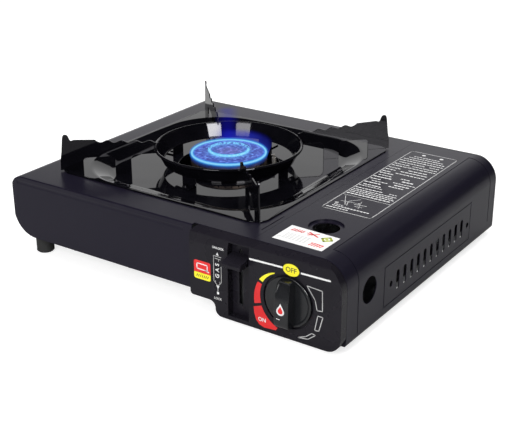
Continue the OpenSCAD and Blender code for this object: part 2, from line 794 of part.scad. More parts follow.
// the crank with its long arm along -u and its short arm along +v, in its own plane
module crank_shape() {
    long_in = arm_a - pin_r - 1;
    long_out = arm_a / cos(crank_tilt) + pin_r + 0.6;
    short_in = arm_b - pin_r - 0.6;
    short_out = arm_b / cos(crank_tilt) + pin_r + 0.8;
    long_w = pin_r + 1.1;                       // half width of the long slot
    short_w = pin_r + 0.7;
    difference() {
        union() {
            circle(6);
            polygon([[0, -4.5], [0, 4.5], [-long_out - 2, long_w + 2.2],
                [-long_out - 2, -long_w - 2.2]]);
            translate([-short_w - 2.2, 0]) square([2 * short_w + 4.4, short_out + 2.2]);
        }
        circle(pin_r + 0.5 + play);
        translate([-long_out, -long_w]) square([long_out - long_in, 2 * long_w]);
        translate([-short_w, short_in]) square([2 * short_w, short_out - short_in]);
    }
}

module lever_crank() {
    color([0.66, 0.66, 0.68]) translate([0, Y(pivot_d), pivot_z])
        translate([crank_x, 0, 0]) rotate([90, 0, 90]) linear_extrude(crank_t)
            rotate(-crank_tilt) crank_shape();
}

module push_arm() {
    color([0.62, 0.62, 0.64]) {
        block(push_x, push_x + push_t, push_pin_d - 8, plate_d + 1.2,
            push_z - push_h / 2, push_z + push_h / 2);
        rod_x(crank_x - gap, push_x + eps, push_pin_d, push_z, pin_r);
    }
}

module push_plate() {
    x1 = push_x + push_t;
    color([0.58, 0.58, 0.6]) {
        block(x1, x1 + 1.2, plate_d - 14, plate_d + 1.2, push_z - push_h / 2, push_z + push_h / 2);
        difference() {
            block(x1 + 1.2 - eps, cart_x + plate_half, plate_d, plate_d + 1.2,
                cart_z - plate_half, cart_z + plate_half);
            rod_y(cart_x, cart_z, 9, plate_d - 1, plate_d + 3);
        }
    }
}

module lid_hinge_pins() {
    color([0.6, 0.6, 0.62]) {
        rod_y(hinge_x, hinge_z, hinge_r, bulk_d - 1.4, bulk_back + 2 * lug_play + lug_t + 1);
        rod_y(hinge_x, hinge_z, hinge_r + 1.2, bulk_d - 1.4, bulk_d);
        rod_y(hinge_x, hinge_z, hinge_r, lid_back - sheet - 2 * lug_play - lug_t - 2, body_d - sheet);
    }
}

// ---------- feet and fasteners ----------

foot_at = [[x_left + foot_x, Y(foot_y)], [x_left + foot_x, Y(body_d - foot_y)]];
short_at = [[pan_right - short_r - 1, Y(foot_y)], [pan_right - short_r - 1, Y(body_d - foot_y)]];

module tall_feet() {
    color([0.07, 0.07, 0.08]) for (p = foot_at) translate([p[0], p[1], 0]) {
        difference() {
            union() {
                cylinder(r = foot_r - 1, h = 1 + eps);
                translate([0, 0, 1]) cylinder(r = foot_r, h = floor_z + 4);
            }
            // top follows the underside of the body
            translate([-p[0], -p[1], 0]) body_block(0);
        }
    }
}

module short_feet() {
    color([0.07, 0.07, 0.08]) for (p = short_at) translate([p[0], p[1], 0])
        cylinder(r = short_r, h = bay_z + sheet + fit);
}

module screw(len) {
    translate([0, 0, -head_h]) cylinder(r = head_r, h = head_h);
    cylinder(r = screw_r - 0.35, h = len);
}

module panel_screws() {
    color([0.7, 0.7, 0.72]) for (p = post_at) translate([p[0], Y(bulk_back), p[1]])
        rotate([90, 0, 0]) screw(7);
}

base_screw_at = concat([for (d = [screw_d, body_d - screw_d]) [x_left + belly_r + 5, Y(d)]],
    [for (d = [screw_in, body_d - screw_in]) for (x = [x_left + screw_side, panel_x - screw_side])
        [x, Y(d)]]);

module base_screws() {
    color([0.7, 0.7, 0.72]) {
        for (p = base_screw_at) translate([p[0], p[1], floor_z]) {
            translate([0, 0, -head_h]) cylinder(r = head_r, h = head_h);
        }
        for (s = [-1, 1]) translate([bx + bracket_hole * s, by, foot_z])
            cylinder(r = head_r, h = head_h);
    }
}

module regulator_screws() {
    color([0.7, 0.7, 0.72]) for (p = reg_posts()) translate([p[0], Y(bulk_d), p[1]])
        rotate([-90, 0, 0]) union() {
            translate([0, 0, -head_h]) cylinder(r = head_r, h = head_h);
            cylinder(r = screw_r - 0.45, h = 7);
        }
}

// ---------- lid ----------

hole_x = cart_x - 8;                           // top view hole
hole_d = 56;
side_hole_d = 38.5;
side_hole_z = 40.5;
field = [62, 224, 14, 49];                     // embossed field: depth and height
end_crease = [20.5, 264];                      // depths of the creases at both ends
end_low = [10, 16.5];                          // and their lower ends
vent_pitch = 12;
vent_d = 85.5;
dish = 1.6;

module lid_shell() {
    color([0.17, 0.17, 0.19]) difference() {
        union() {
            difference() {
                body_block();
                body_block(sheet);
            }
            // flanges at both ends stiffen the lid
            for (d = [lid_front, lid_back - sheet]) intersection() {
                body_block();
                sweep_y(d, d + sheet) difference() {
                    body_profile();
                    body_profile(sheet + 5);
                }
            }
            // dish of the top view hole
            translate([hole_x, Y(hole_d), top_z - dish - sheet])
                cylinder(r = lid_hole_d / 2 + 4.3, h = dish + sheet);
        }
        block(x_left - 1, seam_x + fit, -1, body_d + 1, -1, top_z + 1);
        block(x_left - 1, x_right + 1, -1, lid_front, -1, top_z + 1);
        block(x_left - 1, x_right + 1, lid_back, body_d + 1, -1, top_z + 1);
        block(x_left - 1, x_right - sheet - 5, -1, body_d + 1, -1, top_z - shoulder_r - 10);
        block(x_left - 1, x_right + 1, -1, body_d + 1, -1, bay_z + sheet + gap);
        rod_y(hinge_x, hinge_z, hinge_r + 0.5, lid_back - sheet - 1, lid_back + 1);
        // top view hole and its dish
        translate([hole_x, Y(hole_d), top_z - dish]) cylinder(r = lid_hole_d / 2 + 3.5, h = 5);
        translate([hole_x, Y(hole_d), top_z - 10]) cylinder(r = lid_hole_d / 2, h = 20);
        // side view hole, screw holes and vents
        rod_x(x_right - 2, x_right + 1, side_hole_d, side_hole_z, lid_hole_d / 2);
        rod_x(x_right - 2, x_right + 1, field[0] + 12, 31, 2.5);
        rod_x(x_right - 2, x_right + 1, field[1] - 6, 29.5, 2.5);
        sweep_x(x_right - 2, x_right + 1) for (k = [0:vent_n - 1])
            slot2(Y(vent_d + vent_pitch * k), 22, 39, vent_w);
        // creases pressed into the sheet
        lid_creases();
    }
}

// creases: a field on the side, and a line that runs along the top and down at both ends
module lid_creases() {
    side = x_right - crease_deep;
    line_x = x_right - shoulder_r - 1;
    for (z = [field[2], field[3]])
        block(side, x_right + 1, field[0], field[1], z, z + crease_w);
    for (d = [field[0], field[1] - crease_w])
        block(side, x_right + 1, d, d + crease_w, field[2], field[3] + eps);
    for (k = [0, 1]) sweep_y(end_crease[k], end_crease[k] + crease_w) intersection() {
        difference() {
            body_profile(-1);
            body_profile(crease_deep);
        }
        translate([line_x, end_low[k]]) square([x_right, top_z]);
    }
    block(line_x, line_x + crease_w, end_crease[0], end_crease[1] + crease_w,
        top_z - crease_deep, top_z + 1);
}

module lid_hinge_lugs() {
    color([0.3, 0.3, 0.32])
        for (d = [bulk_back + lug_play, lid_back - sheet - lug_play - lug_t]) difference() {
            union() {
                rod_y(hinge_x, hinge_z, ear_r, d, d + lug_t);
                intersection() {
                    union() {
                        block(hinge_x, x_right, d, d + lug_t, hinge_z - ear_r, hinge_z + ear_r);
                        block(x_right - 2, x_right, d, d + lug_t, hinge_z, hinge_z + 12);
                    }
                    body_block(sheet);
                }
            }
            rod_y(hinge_x, hinge_z, hinge_r + play, d - 1, d + lug_t + 1);
        }
}

// ---------- knob ----------

module knob() {
    r = knob_d / 2;
    front = -panel_proud - disc_h;
    back = -panel_proud + 1.8 - gap;
    color([0.12, 0.12, 0.13]) difference() {
        union() {
            rod_y(knob_x, knob_z, r, front + 1, back);
            rod_y(knob_x, knob_z, r - 1, front, front + 1 + eps);
            // grip: deepest below the axis, it slopes back to the disc at its top
            intersection() {
                rod_y(knob_x, knob_z, r - 1.2, front - grip_h, front + eps);
                sweep_x(knob_x - grip_w / 2, knob_x + grip_w / 2) translate([Y(front), knob_z])
                    polygon([[eps, -r], [-grip_h / 2, 1.8 - r], [-grip_h, 10 - r],
                        [-grip_h, 0.36 * r], [eps, r - 1.2]]);
            }
        }
        rod_y(knob_x, knob_z, spindle_r, front - grip_h / 2, back + 1);
    }
}

module valve_spindle() {
    front = -panel_proud - disc_h - grip_h / 2;
    color([0.7, 0.68, 0.6]) rod_y(knob_x, knob_z, spindle_r, front, reg_d + 7);
}

// radius of the cam at angle a clockwise from its top: it grows evenly over the knob's turn
function cam_at(a) = a < 0 ? cam_r : a > knob_turn + 12 ? cam_r : cam_r + cam_lift * a / knob_turn;

module igniter_cam() {
    color([0.85, 0.8, 0.3]) difference() {
        sweep_y(cam_d, cam_d + cam_t) translate([knob_x, knob_z])
            polygon([for (k = [0:47]) let (a = k * 7.5 - 60)
                cam_at(a) * [sin(a), cos(a)]]);
        rod_y(knob_x, knob_z, spindle_r, cam_d - 1, cam_d + cam_t + 1);
    }
}

module igniter_plunger() {
    color([0.75, 0.75, 0.77]) translate([knob_x, Y(cam_d + cam_t / 2), plunger_z]) {
        translate([0, 0, 1]) cylinder(r = plunger_r, h = igniter_z + 7 - plunger_z);
        cylinder(r = 0.9, h = 1 + eps);
    }
}

// ---------- pan support ----------

// the dish as a block, its floor at z0 and its top at z1: straight walls, round corners
module dish_block(z0, z1) {
    mid = dish_half - dish_r;
    for (a = [0, 90]) rotate(a) translate([-mid, 0, 0]) rotate([90, 0, 90]) linear_extrude(2 * mid)
        polygon([[-floor_half, z0], [floor_half, z0], [dish_half, z1], [-dish_half, z1]]);
    for (sx = [-1, 1]) for (sy = [-1, 1]) translate([sx * mid, sy * mid, z0])
        cylinder(r1 = floor_half - mid, r2 = dish_half - mid, h = z1 - z0);
}

module drip_tray() {
    color([0.05, 0.05, 0.06]) translate([bx, by, 0]) {
        difference() {
            union() {
                dish_block(flat_z - tray_t, lip_z - tray_t);
                translate([0, 0, lip_z - tray_t]) linear_extrude(tray_t)
                    rsquare(tray_size / 2, tray_r);
            }
            dish_block(flat_z, lip_z);
            translate([0, 0, lip_z - eps]) linear_extrude(1) rsquare(dish_half, dish_r);
            translate([0, 0, flat_z - 2]) cylinder(r = well_r, h = 5);
            for (a = [0:90:359]) rotate(a) translate([ring_foot_r, 0, flat_z - 2])
                cylinder(r = 1.3, h = 5);
        }
        // collar round the burner
        translate([0, 0, flat_z - tray_t]) difference() {
            cylinder(r = well_r + tray_t, h = tray_t + 2.6);
            translate([0, 0, -1]) cylinder(r = well_r, h = tray_t + 5);
        }
    }
}

ring_t = 1.2;
ring_low = 7.1;                                // ring's lower edge above the floor
ring_in = ring_r - 8;                          // radius of the ring's lower edge
ring_foot_r = ring_in + 6;
bead_r = 1.3;

module ring_wall(grow = 0) {
    z0 = flat_z + ring_low;
    z1 = flat_z + ring_h - bead_r;
    rotate_extrude() {
        polygon([[ring_in - ring_t - grow, z0 - grow], [ring_in + grow, z0 - grow],
            [ring_r - bead_r + grow, z1], [ring_r - bead_r - ring_t - grow, z1]]);
        translate([ring_r - bead_r, z1]) circle(bead_r + grow, $fn = 32);
    }
}

module pan_ring() {
    leg_w = 15;
    color([0.05, 0.05, 0.06]) translate([bx, by, 0]) {
        ring_wall();
        for (a = [0:90:359]) rotate(a) difference() {
            union() {
                translate([ring_in - ring_t, -leg_w / 2, flat_z])
                    cube([ring_t, leg_w, ring_low + 2]);
                translate([ring_in - ring_t, -leg_w / 2, flat_z]) cube([ring_t + 11, leg_w, ring_t]);
            }
            translate([ring_foot_r, 0, flat_z - 1]) cylinder(r = 1.3, h = 4);
        }
    }
}

module tray_rivets() {
    color([0.1, 0.1, 0.11]) translate([bx, by, 0]) for (a = [0:90:359]) rotate(a)
        translate([ring_foot_r, 0, 0]) {
            translate([0, 0, flat_z - tray_t - 0.6]) cylinder(r = 2.4, h = 0.6);
            translate([0, 0, flat_z - tray_t - eps]) cylinder(r = 1.2, h = tray_t + ring_t + 2 * eps);
            translate([0, 0, flat_z + ring_t]) cylinder(r = 2.4, h = 0.8);
        }
}

// height of a support's scalloped edge at radius r, above the floor
scallop_in = ring_r - 3.5;
scallop_out = fin_reach - 33;
scallop_pitch = 12.4;
function edge_h(r) = fin_h - 2.2 - 0.068 * (scallop_out - r)
    + 1.1 * cos(360 * (scallop_out - 9.8 - r) / scallop_pitch);

module fin_outline() {
    steps = 40;
    rest = flat_z + fin_h;
    top = [for (k = [0:steps]) let (r = scallop_in + (scallop_out - scallop_in) * k / steps)
        [r, flat_z + edge_h(r)]];
    // [distance from the outer end, height above or below the resting height]
    horn = [[13.4, 0.4], [10.4, -0.4], [9.3, 1.2], [8.5, 3.6], [7.6, 5], [6.4, 5.6], [5, 5.7],
        [4, 5.2], [3.3, 3.8], [2.8, 1], [1.6, -10.5], [0.3, -17.9], [0, lip_z - rest]];
    polygon(concat([[scallop_in, rest - 20.5]], top, [[scallop_out + 1.5, rest - 0.6]],
        [for (p = horn) [fin_reach - p[0], rest + p[1]]],
        [[leg_end, lip_z], [leg_end, flat_z], [scallop_in, flat_z]]));
}

leg_start = fin_reach - 63;                    // inner leg, on the tray's floor
leg_end = fin_reach - 48.5;
foot_start = fin_reach - 20.5;                 // outer foot, on the tray's corner

module pan_fin(quarter) {
    arch_z = flat_z + fin_h - 16.9;
    color([0.06, 0.06, 0.07]) translate([bx, by, 0]) rotate(45 + 90 * quarter) difference() {
        translate([0, fin_t / 2, 0]) rotate([90, 0, 0]) linear_extrude(fin_t) difference() {
            fin_outline();
            // under the inner arm, and between the leg and the foot
            rbox(0, flat_z - 1, leg_start, arch_z, [0, 0, 5, 0]);
            rbox(leg_end, flat_z - 1, foot_start, arch_z, [0, 0, 3, 3]);
        }
        ring_wall(0.1);
    }
}

body_shell();
base_pan();
front_panel();
front_bulkhead();
partition_wall();
heat_panel();
burner_base();
burner_cap();
inner_cap();
mixing_tube();
burner_bracket();
regulator_body();
diaphragm_cap();
cartridge_socket();
socket_seal();
gas_pipe();
jet_nozzle();
igniter_body();
igniter_lead();
electrode();
electrode_bracket();
cartridge_saddles();
slider_guides();
crank_pivot();
lid_hinge_pins();
tall_feet();
short_feet();
panel_screws();
base_screws();
regulator_screws();
lid_shell();
lid_hinge_lugs();
knob();
valve_spindle();
igniter_cam();
igniter_plunger();
lever_handle();
lever_slider();
lever_crank();
push_arm();
push_plate();
drip_tray();
pan_ring();
pan_fin(2);  // fin_front_left
pan_fin(3);  // fin_front_right
pan_fin(0);  // fin_back_right
pan_fin(1);  // fin_back_left
tray_rivets();
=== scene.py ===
# %% [markdown]
# # A portable butane stove
# The flat stove for a dinner table: a pressed steel housing, a glossy enamel tray with a ring and
# four pan supports, a plastic control panel, and a hinged lid over the gas cartridge.
# The engineering model comes in first and stays where it is. It already has every sheet, joint
# and fastener at its true size. This lesson gives it finishes, and replaces the parts whose real
# surface is softer than a CAD solid: pressed corners, moulded edges and printed ink.

import json
import math

import bmesh
import bpy
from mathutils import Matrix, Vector


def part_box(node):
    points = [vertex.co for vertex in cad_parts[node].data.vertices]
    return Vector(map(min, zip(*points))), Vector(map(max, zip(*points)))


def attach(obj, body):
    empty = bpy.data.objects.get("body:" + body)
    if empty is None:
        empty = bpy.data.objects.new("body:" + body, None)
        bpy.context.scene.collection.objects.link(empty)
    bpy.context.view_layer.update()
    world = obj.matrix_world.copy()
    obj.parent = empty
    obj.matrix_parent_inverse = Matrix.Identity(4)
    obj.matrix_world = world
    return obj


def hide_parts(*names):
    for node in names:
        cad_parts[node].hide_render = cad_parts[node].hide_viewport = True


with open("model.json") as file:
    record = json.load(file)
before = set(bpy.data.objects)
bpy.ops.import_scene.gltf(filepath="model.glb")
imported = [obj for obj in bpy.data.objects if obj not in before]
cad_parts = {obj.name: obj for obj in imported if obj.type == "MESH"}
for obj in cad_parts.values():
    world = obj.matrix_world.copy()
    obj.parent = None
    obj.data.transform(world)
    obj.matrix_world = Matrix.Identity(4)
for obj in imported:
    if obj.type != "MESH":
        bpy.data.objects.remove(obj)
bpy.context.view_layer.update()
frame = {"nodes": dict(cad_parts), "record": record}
nodes = frame["nodes"]

# %% [markdown]
# ## Helpers for working as by hand
# Blender's tools act on whatever is selected, so each helper starts from a clear selection.
# Faces and edges are chosen in code, by where they are or which way they look, which is the same
# thing that a hand does with the mouse. A finished piece has its place in its mesh, so that its
# patterns stay still when the piece moves.

# %% Selection and edit helpers
MM = 0.001
SAME_POINT = 0.002 * MM  # points nearer than this are one point
NEAR = 0.01 * MM  # a point this near to a level lies on it
ON_LINE = 0.05 * MM  # a point this near to an outline lies on it
FLAT = math.radians(0.4)  # faces that differ by less than this are one flat face


def clear_selection():
    if bpy.context.mode != "OBJECT":
        bpy.ops.object.mode_set(mode="OBJECT")
    bpy.ops.object.select_all(action="DESELECT")


def take(piece, *more):
    """Makes piece the active object, selected alone or with more."""
    clear_selection()
    for o in (piece, *more):
        o.select_set(True)
    bpy.context.view_layer.objects.active = piece
    return piece


def made():
    """The object that the last operator added, with its place moved into its mesh."""
    piece = take(bpy.context.object)
    bpy.ops.object.transform_apply(location=True, rotation=True, scale=True)
    return piece


def open_up(piece):
    take(piece)
    bpy.ops.object.mode_set(mode="EDIT")
    bpy.ops.mesh.select_all(action="DESELECT")


def close_up():
    bpy.ops.object.mode_set(mode="OBJECT")


def choose(kind, test):
    """In edit mode, selects each face, edge or point for which test(item) holds."""
    bpy.ops.mesh.select_mode(type={"face": "FACE", "edge": "EDGE", "point": "VERT"}[kind])
    bpy.ops.mesh.select_all(action="DESELECT")
    mesh = bpy.context.edit_object.data
    bm = bmesh.from_edit_mesh(mesh)
    items = {"face": bm.faces, "edge": bm.edges, "point": bm.verts}[kind]
    found = [item for item in items if test(item)]
    for item in found:
        item.select_set(True)
    bm.select_flush_mode()
    bmesh.update_edit_mesh(mesh)
    return len(found)


def choose_all():
    bpy.ops.mesh.select_all(action="SELECT")


# %% [markdown]
# A modifier is added and applied at once, so that the mesh holds all that is seen. Every piece
# ends in the same way: a name, one material, smooth shading that keeps its creases, and the body
# that it rides on when a joint moves.


# %% Modifiers, joining and finishing
def apply_modifier(piece, kind, **settings):
    take(piece)
    modifier = piece.modifiers.new(kind.title(), kind)
    for key, value in settings.items():
        setattr(modifier, key, value)
    bpy.ops.object.modifier_apply(modifier=modifier.name)
    return piece


def round_edges(piece, width, segments=3, angle=30):
    return apply_modifier(
        piece,
        "BEVEL",
        width=width,
        segments=segments,
        limit_method="ANGLE",
        angle_limit=math.radians(angle),
        use_clamp_overlap=True,
    )


def join(piece, *more):
    if more:
        take(piece, *more)
        bpy.ops.object.join()
    return piece


def finish_piece(piece, name, body, material, stands_for=(), angle=32):
    """Names and smooths a piece, gives it its material, and lets it ride on a body."""
    take(piece)
    bpy.ops.object.transform_apply(location=True, rotation=True, scale=True)
    piece.name = piece.data.name = name
    piece.data.materials.clear()
    piece.data.materials.append(material)
    bpy.ops.object.shade_smooth_by_angle(angle=math.radians(angle))
    apply_modifier(piece, "WEIGHTED_NORMAL", weight=70, keep_sharp=True)
    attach(piece, body)
    if stands_for:
        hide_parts(*stands_for)
    size = piece.dimensions
    print(f"{name}: {len(piece.data.polygons)} faces, {size.x:.3f} x {size.y:.3f} x {size.z:.3f} m")
    return piece


def twin_of(node, name):
    """A merged copy of a CAD node, with flat areas as single faces, ready for soft edges."""
    take(nodes[node])
    bpy.ops.object.duplicate()
    twin = bpy.context.object
    twin.name = name
    twin.parent = None
    for key in list(twin.keys()):
        if key.startswith("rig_"):
            del twin[key]
    if twin.data.has_custom_normals:
        bpy.ops.mesh.customdata_custom_splitnormals_clear()
    open_up(twin)
    choose_all()
    bpy.ops.mesh.remove_doubles(threshold=SAME_POINT)
    bpy.ops.mesh.dissolve_limited(angle_limit=FLAT)
    close_up()
    return twin


# %% [markdown]
# ## Materials
# Every finish is built from nodes that read Object coordinates, so a pattern sits on the piece
# like real paint. One recipe serves most of them: a base colour that wanders a little, a
# roughness that wanders with it, and a fine bump for the grain of the paint, casting or mould.


# %% The common recipe
def wander(tree, scale, detail=3.0):
    """A noise that reads the piece's own coordinates, in metres."""
    place = tree.nodes.new("ShaderNodeTexCoord")
    noise = tree.nodes.new("ShaderNodeTexNoise")
    noise.inputs["Scale"].default_value = scale
    noise.inputs["Detail"].default_value = detail
    tree.links.new(place.outputs["Object"], noise.inputs["Vector"])
    return noise.outputs["Fac"]


def spread(tree, value, low, high):
    """Maps a noise's middle range to low..high."""
    node = tree.nodes.new("ShaderNodeMapRange")
    node.inputs["From Min"].default_value = 0.3
    node.inputs["From Max"].default_value = 0.7
    node.inputs["To Min"].default_value = low
    node.inputs["To Max"].default_value = high
    tree.links.new(value, node.inputs["Value"])
    return node.outputs["Result"]


def math_node(tree, operation, value, other):
    """A sum on a socket's value; other is a number or another socket."""
    node = tree.nodes.new("ShaderNodeMath")
    node.operation = operation
    tree.links.new(value, node.inputs[0])
    if isinstance(other, float):
        node.inputs[1].default_value = other
    else:
        tree.links.new(other, node.inputs[1])
    return node.outputs["Value"]


def new_finish(
    name,
    dark,
    light,
    rough,
    metal=0.0,
    patch=40.0,
    grain=1500.0,
    grain_depth=0.02 * MM,
    wave=None,
    wave_depth=0.0,
    shine=0.5,
    tint=(1.0, 1.0, 1.0),
):
    """dark and light are the ends of the colour, rough the ends of the roughness.

    patch, grain and wave are noise scales: a larger one makes a finer pattern.
    """
    finish = bpy.data.materials.new(name)
    finish.use_nodes = True
    tree = finish.node_tree
    shader = tree.nodes["Principled BSDF"]
    shader.inputs["Metallic"].default_value = metal
    shader.inputs["Specular IOR Level"].default_value = shine
    shader.inputs["Specular Tint"].default_value = (*tint, 1)
    patches = wander(tree, patch)
    colour = tree.nodes.new("ShaderNodeMix")
    colour.data_type = "RGBA"
    colour.inputs["A"].default_value = (*dark, 1)
    colour.inputs["B"].default_value = (*light, 1)
    tree.links.new(spread(tree, patches, 0.0, 1.0), colour.inputs["Factor"])
    tree.links.new(colour.outputs["Result"], shader.inputs["Base Color"])
    tree.links.new(spread(tree, patches, *rough), shader.inputs["Roughness"])
    bump = tree.nodes.new("ShaderNodeBump")
    bump.inputs["Strength"].default_value = 1.0
    bump.inputs["Distance"].default_value = grain_depth
    tree.links.new(wander(tree, grain, 2.0), bump.inputs["Height"])
    if wave:
        swell = tree.nodes.new("ShaderNodeBump")
        swell.inputs["Strength"].default_value = 1.0
        swell.inputs["Distance"].default_value = wave_depth
        tree.links.new(wander(tree, wave, 1.0), swell.inputs["Height"])
        tree.links.new(swell.outputs["Normal"], bump.inputs["Normal"])
    tree.links.new(bump.outputs["Normal"], shader.inputs["Normal"])
    return finish


# %% [markdown]
# ### Paint, enamel, plastic and metal
# The housing is steel with a baked satin paint: almost black, slightly blue, with a faint orange
# peel. Tray, ring and supports are vitreous enamel, which is glass melted on steel. It is nearly
# a mirror, and its surface swells slowly over a few centimetres, so reflections bend a little.
# The panel and knob are moulded plastic, and the feet are rubber.

# %% Finishes of the housing and the controls
body_paint = new_finish(
    "satin_body_paint",
    dark=(0.0092, 0.008, 0.0158),
    light=(0.0099, 0.0087, 0.0166),
    rough=(0.277, 0.287),
    patch=12,
    grain=700,
    grain_depth=0.001 * MM,
    wave=9,
    wave_depth=0.06 * MM,
    shine=0.2,
    tint=(0.97, 0.94, 1.0),
)
tray_enamel = new_finish(
    "black_tray_enamel",
    dark=(0.002, 0.002, 0.003),
    light=(0.0035, 0.0033, 0.0048),
    rough=(0.03, 0.06),
    grain=260,
    grain_depth=0.004 * MM,
    wave=26,
    wave_depth=0.16 * MM,
    shine=0.26,
    tint=(0.96, 0.95, 1.0),
)
panel_plastic = new_finish(
    "panel_plastic",
    dark=(0.0085, 0.0075, 0.011),
    light=(0.0115, 0.0102, 0.0145),
    rough=(0.24, 0.3),
    grain=2600,
    grain_depth=0.01 * MM,
    shine=0.2,
)
knob_plastic = new_finish(
    "knob_plastic",
    dark=(0.006, 0.0065, 0.008),
    light=(0.009, 0.0098, 0.0115),
    rough=(0.2, 0.28),
    grain=2200,
    grain_depth=0.01 * MM,
    shine=0.5,
)
foot_rubber = new_finish(
    "foot_rubber", (0.012, 0.012, 0.012), (0.02, 0.02, 0.02), (0.6, 0.75), grain=1800
)

# %% [markdown]
# Inside there is bare metal: zinc-plated brackets, cast alloy at the burner and valve, brass at the
# jet. The burner's cap has been hot, so its metal is brown in patches. Metal is the same recipe
# with the metallic value up, and a wider spread of roughness where it is cast.

# %% Finishes of the parts inside
zinc_sheet = new_finish(
    "zinc_sheet", (0.22, 0.23, 0.24), (0.32, 0.33, 0.34), (0.28, 0.45), metal=0.9, patch=90
)
plated_steel = new_finish(
    "plated_steel", (0.5, 0.5, 0.52), (0.6, 0.6, 0.61), (0.2, 0.3), metal=1.0, patch=120
)
cast_alloy = new_finish(
    "cast_alloy",
    (0.4, 0.4, 0.4),
    (0.55, 0.55, 0.54),
    (0.42, 0.6),
    metal=0.85,
    patch=70,
    grain=700,
    grain_depth=0.08 * MM,
)
valve_alloy = new_finish(
    "valve_alloy",
    (0.5, 0.48, 0.42),
    (0.62, 0.59, 0.52),
    (0.35, 0.5),
    metal=0.85,
    grain=900,
    grain_depth=0.05 * MM,
)
burner_metal = new_finish(
    "heat_darkened_burner",
    (0.05, 0.04, 0.035),
    (0.16, 0.12, 0.09),
    (0.35, 0.55),
    metal=0.8,
    patch=110,
    grain=800,
    grain_depth=0.05 * MM,
)
brass = new_finish(
    "brass", (0.62, 0.42, 0.14), (0.75, 0.55, 0.24), (0.22, 0.36), metal=1.0, patch=150
)
black_rubber = new_finish(
    "seal_rubber", (0.012, 0.012, 0.012), (0.02, 0.02, 0.02), (0.5, 0.65)
)
white_plastic = new_finish(
    "igniter_plastic", (0.7, 0.69, 0.65), (0.78, 0.77, 0.73), (0.35, 0.45)
)
cam_plastic = new_finish("cam_plastic", (0.66, 0.58, 0.28), (0.74, 0.66, 0.36), (0.4, 0.5))
red_sleeve = new_finish("red_sleeve", (0.42, 0.015, 0.01), (0.55, 0.03, 0.02), (0.4, 0.5))
glazed_ceramic = new_finish(
    "glazed_ceramic", (0.13, 0.12, 0.11), (0.18, 0.17, 0.15), (0.25, 0.35)
)

# %% [markdown]
# Printed ink lies on the surface with a dull face of its own, so it needs its own finish and not
# just another colour on the plastic.

# %% Ink and sticker finishes
# The white finish serves real print and also two painted highlights: the vents' lower ends and the
# grip's lower edge.
white_ink_and_painted_highlight = new_finish("white_ink_and_painted_highlight", (0.7, 0.7, 0.7), (0.8, 0.8, 0.8), (0.45, 0.55), grain=3000)
grey_ink = new_finish("grey_ink", (0.42, 0.42, 0.42), (0.54, 0.54, 0.54), (0.45, 0.55))
red_ink = new_finish("red_ink", (0.62, 0.012, 0.015), (0.75, 0.02, 0.02), (0.35, 0.45), grain=3000)
yellow_ink = new_finish(
    "yellow_ink", (0.82, 0.72, 0.01), (0.9, 0.82, 0.03), (0.35, 0.45), grain=3000
)
olive_ink = new_finish("olive_ink", (0.04, 0.045, 0.008), (0.06, 0.065, 0.012), (0.4, 0.5))
lime_ink = new_finish("lime_ink", (0.35, 0.42, 0.02), (0.45, 0.52, 0.04), (0.4, 0.5))
sticker_paper = new_finish(
    "sticker_paper", (0.78, 0.78, 0.77), (0.84, 0.84, 0.83), (0.3, 0.4), patch=200, grain=3500
)

# %% [markdown]
# ### Finishes for the model's own solids
# Most solids inside the housing keep their exact CAD shape. Each one takes the finish that its
# record names, which is a matter of swapping the material in its slot.

# %% Dress every solid by its slot in the record
finish_of_slot = {
    "body_enamel": body_paint,
    "zinc_sheet": zinc_sheet,
    "panel_plastic": panel_plastic,
    "knob_plastic": knob_plastic,
    "black_enamel": tray_enamel,
    "burner_casting": cast_alloy,
    "burner_cap_metal": burner_metal,
    "valve_casting": valve_alloy,
    "brass_parts": brass,
    "seal_rubber": black_rubber,
    "foot_rubber": foot_rubber,
    "igniter_plastic": white_plastic,
    "lead_sleeve": red_sleeve,
    "electrode_ceramic": glazed_ceramic,
    "cam_plastic": cam_plastic,
    "plated_steel": plated_steel,
}
slot_of_node = {s["node"]: s["material_slot"] for s in frame["record"]["subparts"]}
for node, solid in nodes.items():
    solid.data.materials.clear()
    solid.data.materials.append(finish_of_slot[slot_of_node[node]])
print("dressed", len(nodes), "solids with", len(finish_of_slot), "finishes")

# %% [markdown]
# ## Sheet metal with soft edges
# Pressed steel has no sharp edge: where the CAD has a corner, the sheet turns over a small
# radius and catches a line of light. A merged copy of the solid with a narrow bevel gives that
# line. The copy stands for the solid, which stays in the model for collision.


# %% Soft twins of the sheets, lever and feet
SOFTENED = 35  # an edge whose faces differ by more than this many degrees gets a bevel


def soften(node, body, width, segments):
    """Replaces a CAD node by its twin with rounded edges, in the node's own finish."""
    name = node + "_soft"
    twin = twin_of(node, name)
    if width:
        round_edges(twin, width, segments, SOFTENED)
    slot = slot_of_node[node]
    return finish_piece(twin, name, body, finish_of_slot[slot], [node])


# The body's solid has its rounded bends already, so its twin is only shaded smooth.
soften("body_shell", "housing", 0, 0)
soften("lid_shell", "lid", 0.15 * MM, 2)
soften("lever_handle", "lever", 0.9 * MM, 3)
soften("tall_feet", "housing", 1.2 * MM, 3)
soften("short_feet", "housing", 0.8 * MM, 3)
for corner in ("front_left", "front_right", "back_right", "back_left"):
    soften("fin_" + corner, "pan_support", 0.3 * MM, 2)

# %% [markdown]
# ### The panel's crown
# The panel is moulded, and its face rolls over into the top in one long curve. The two bends that
# run along the crown get a wide bevel first, all other edges a narrow one after it.

# %% Roll the crown over
panel_low, panel_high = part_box("front_panel")
panel_face = panel_low.y
panel_twin = twin_of("front_panel", "front_panel_soft")
# Each bend is (how far it runs below the panel's top, the width of its bevel).
crown_bends = ((11.6 * MM, 3.4 * MM), (3.6 * MM, 2.6 * MM))
crown_depth = 3 * MM
long_edge = 8 * MM


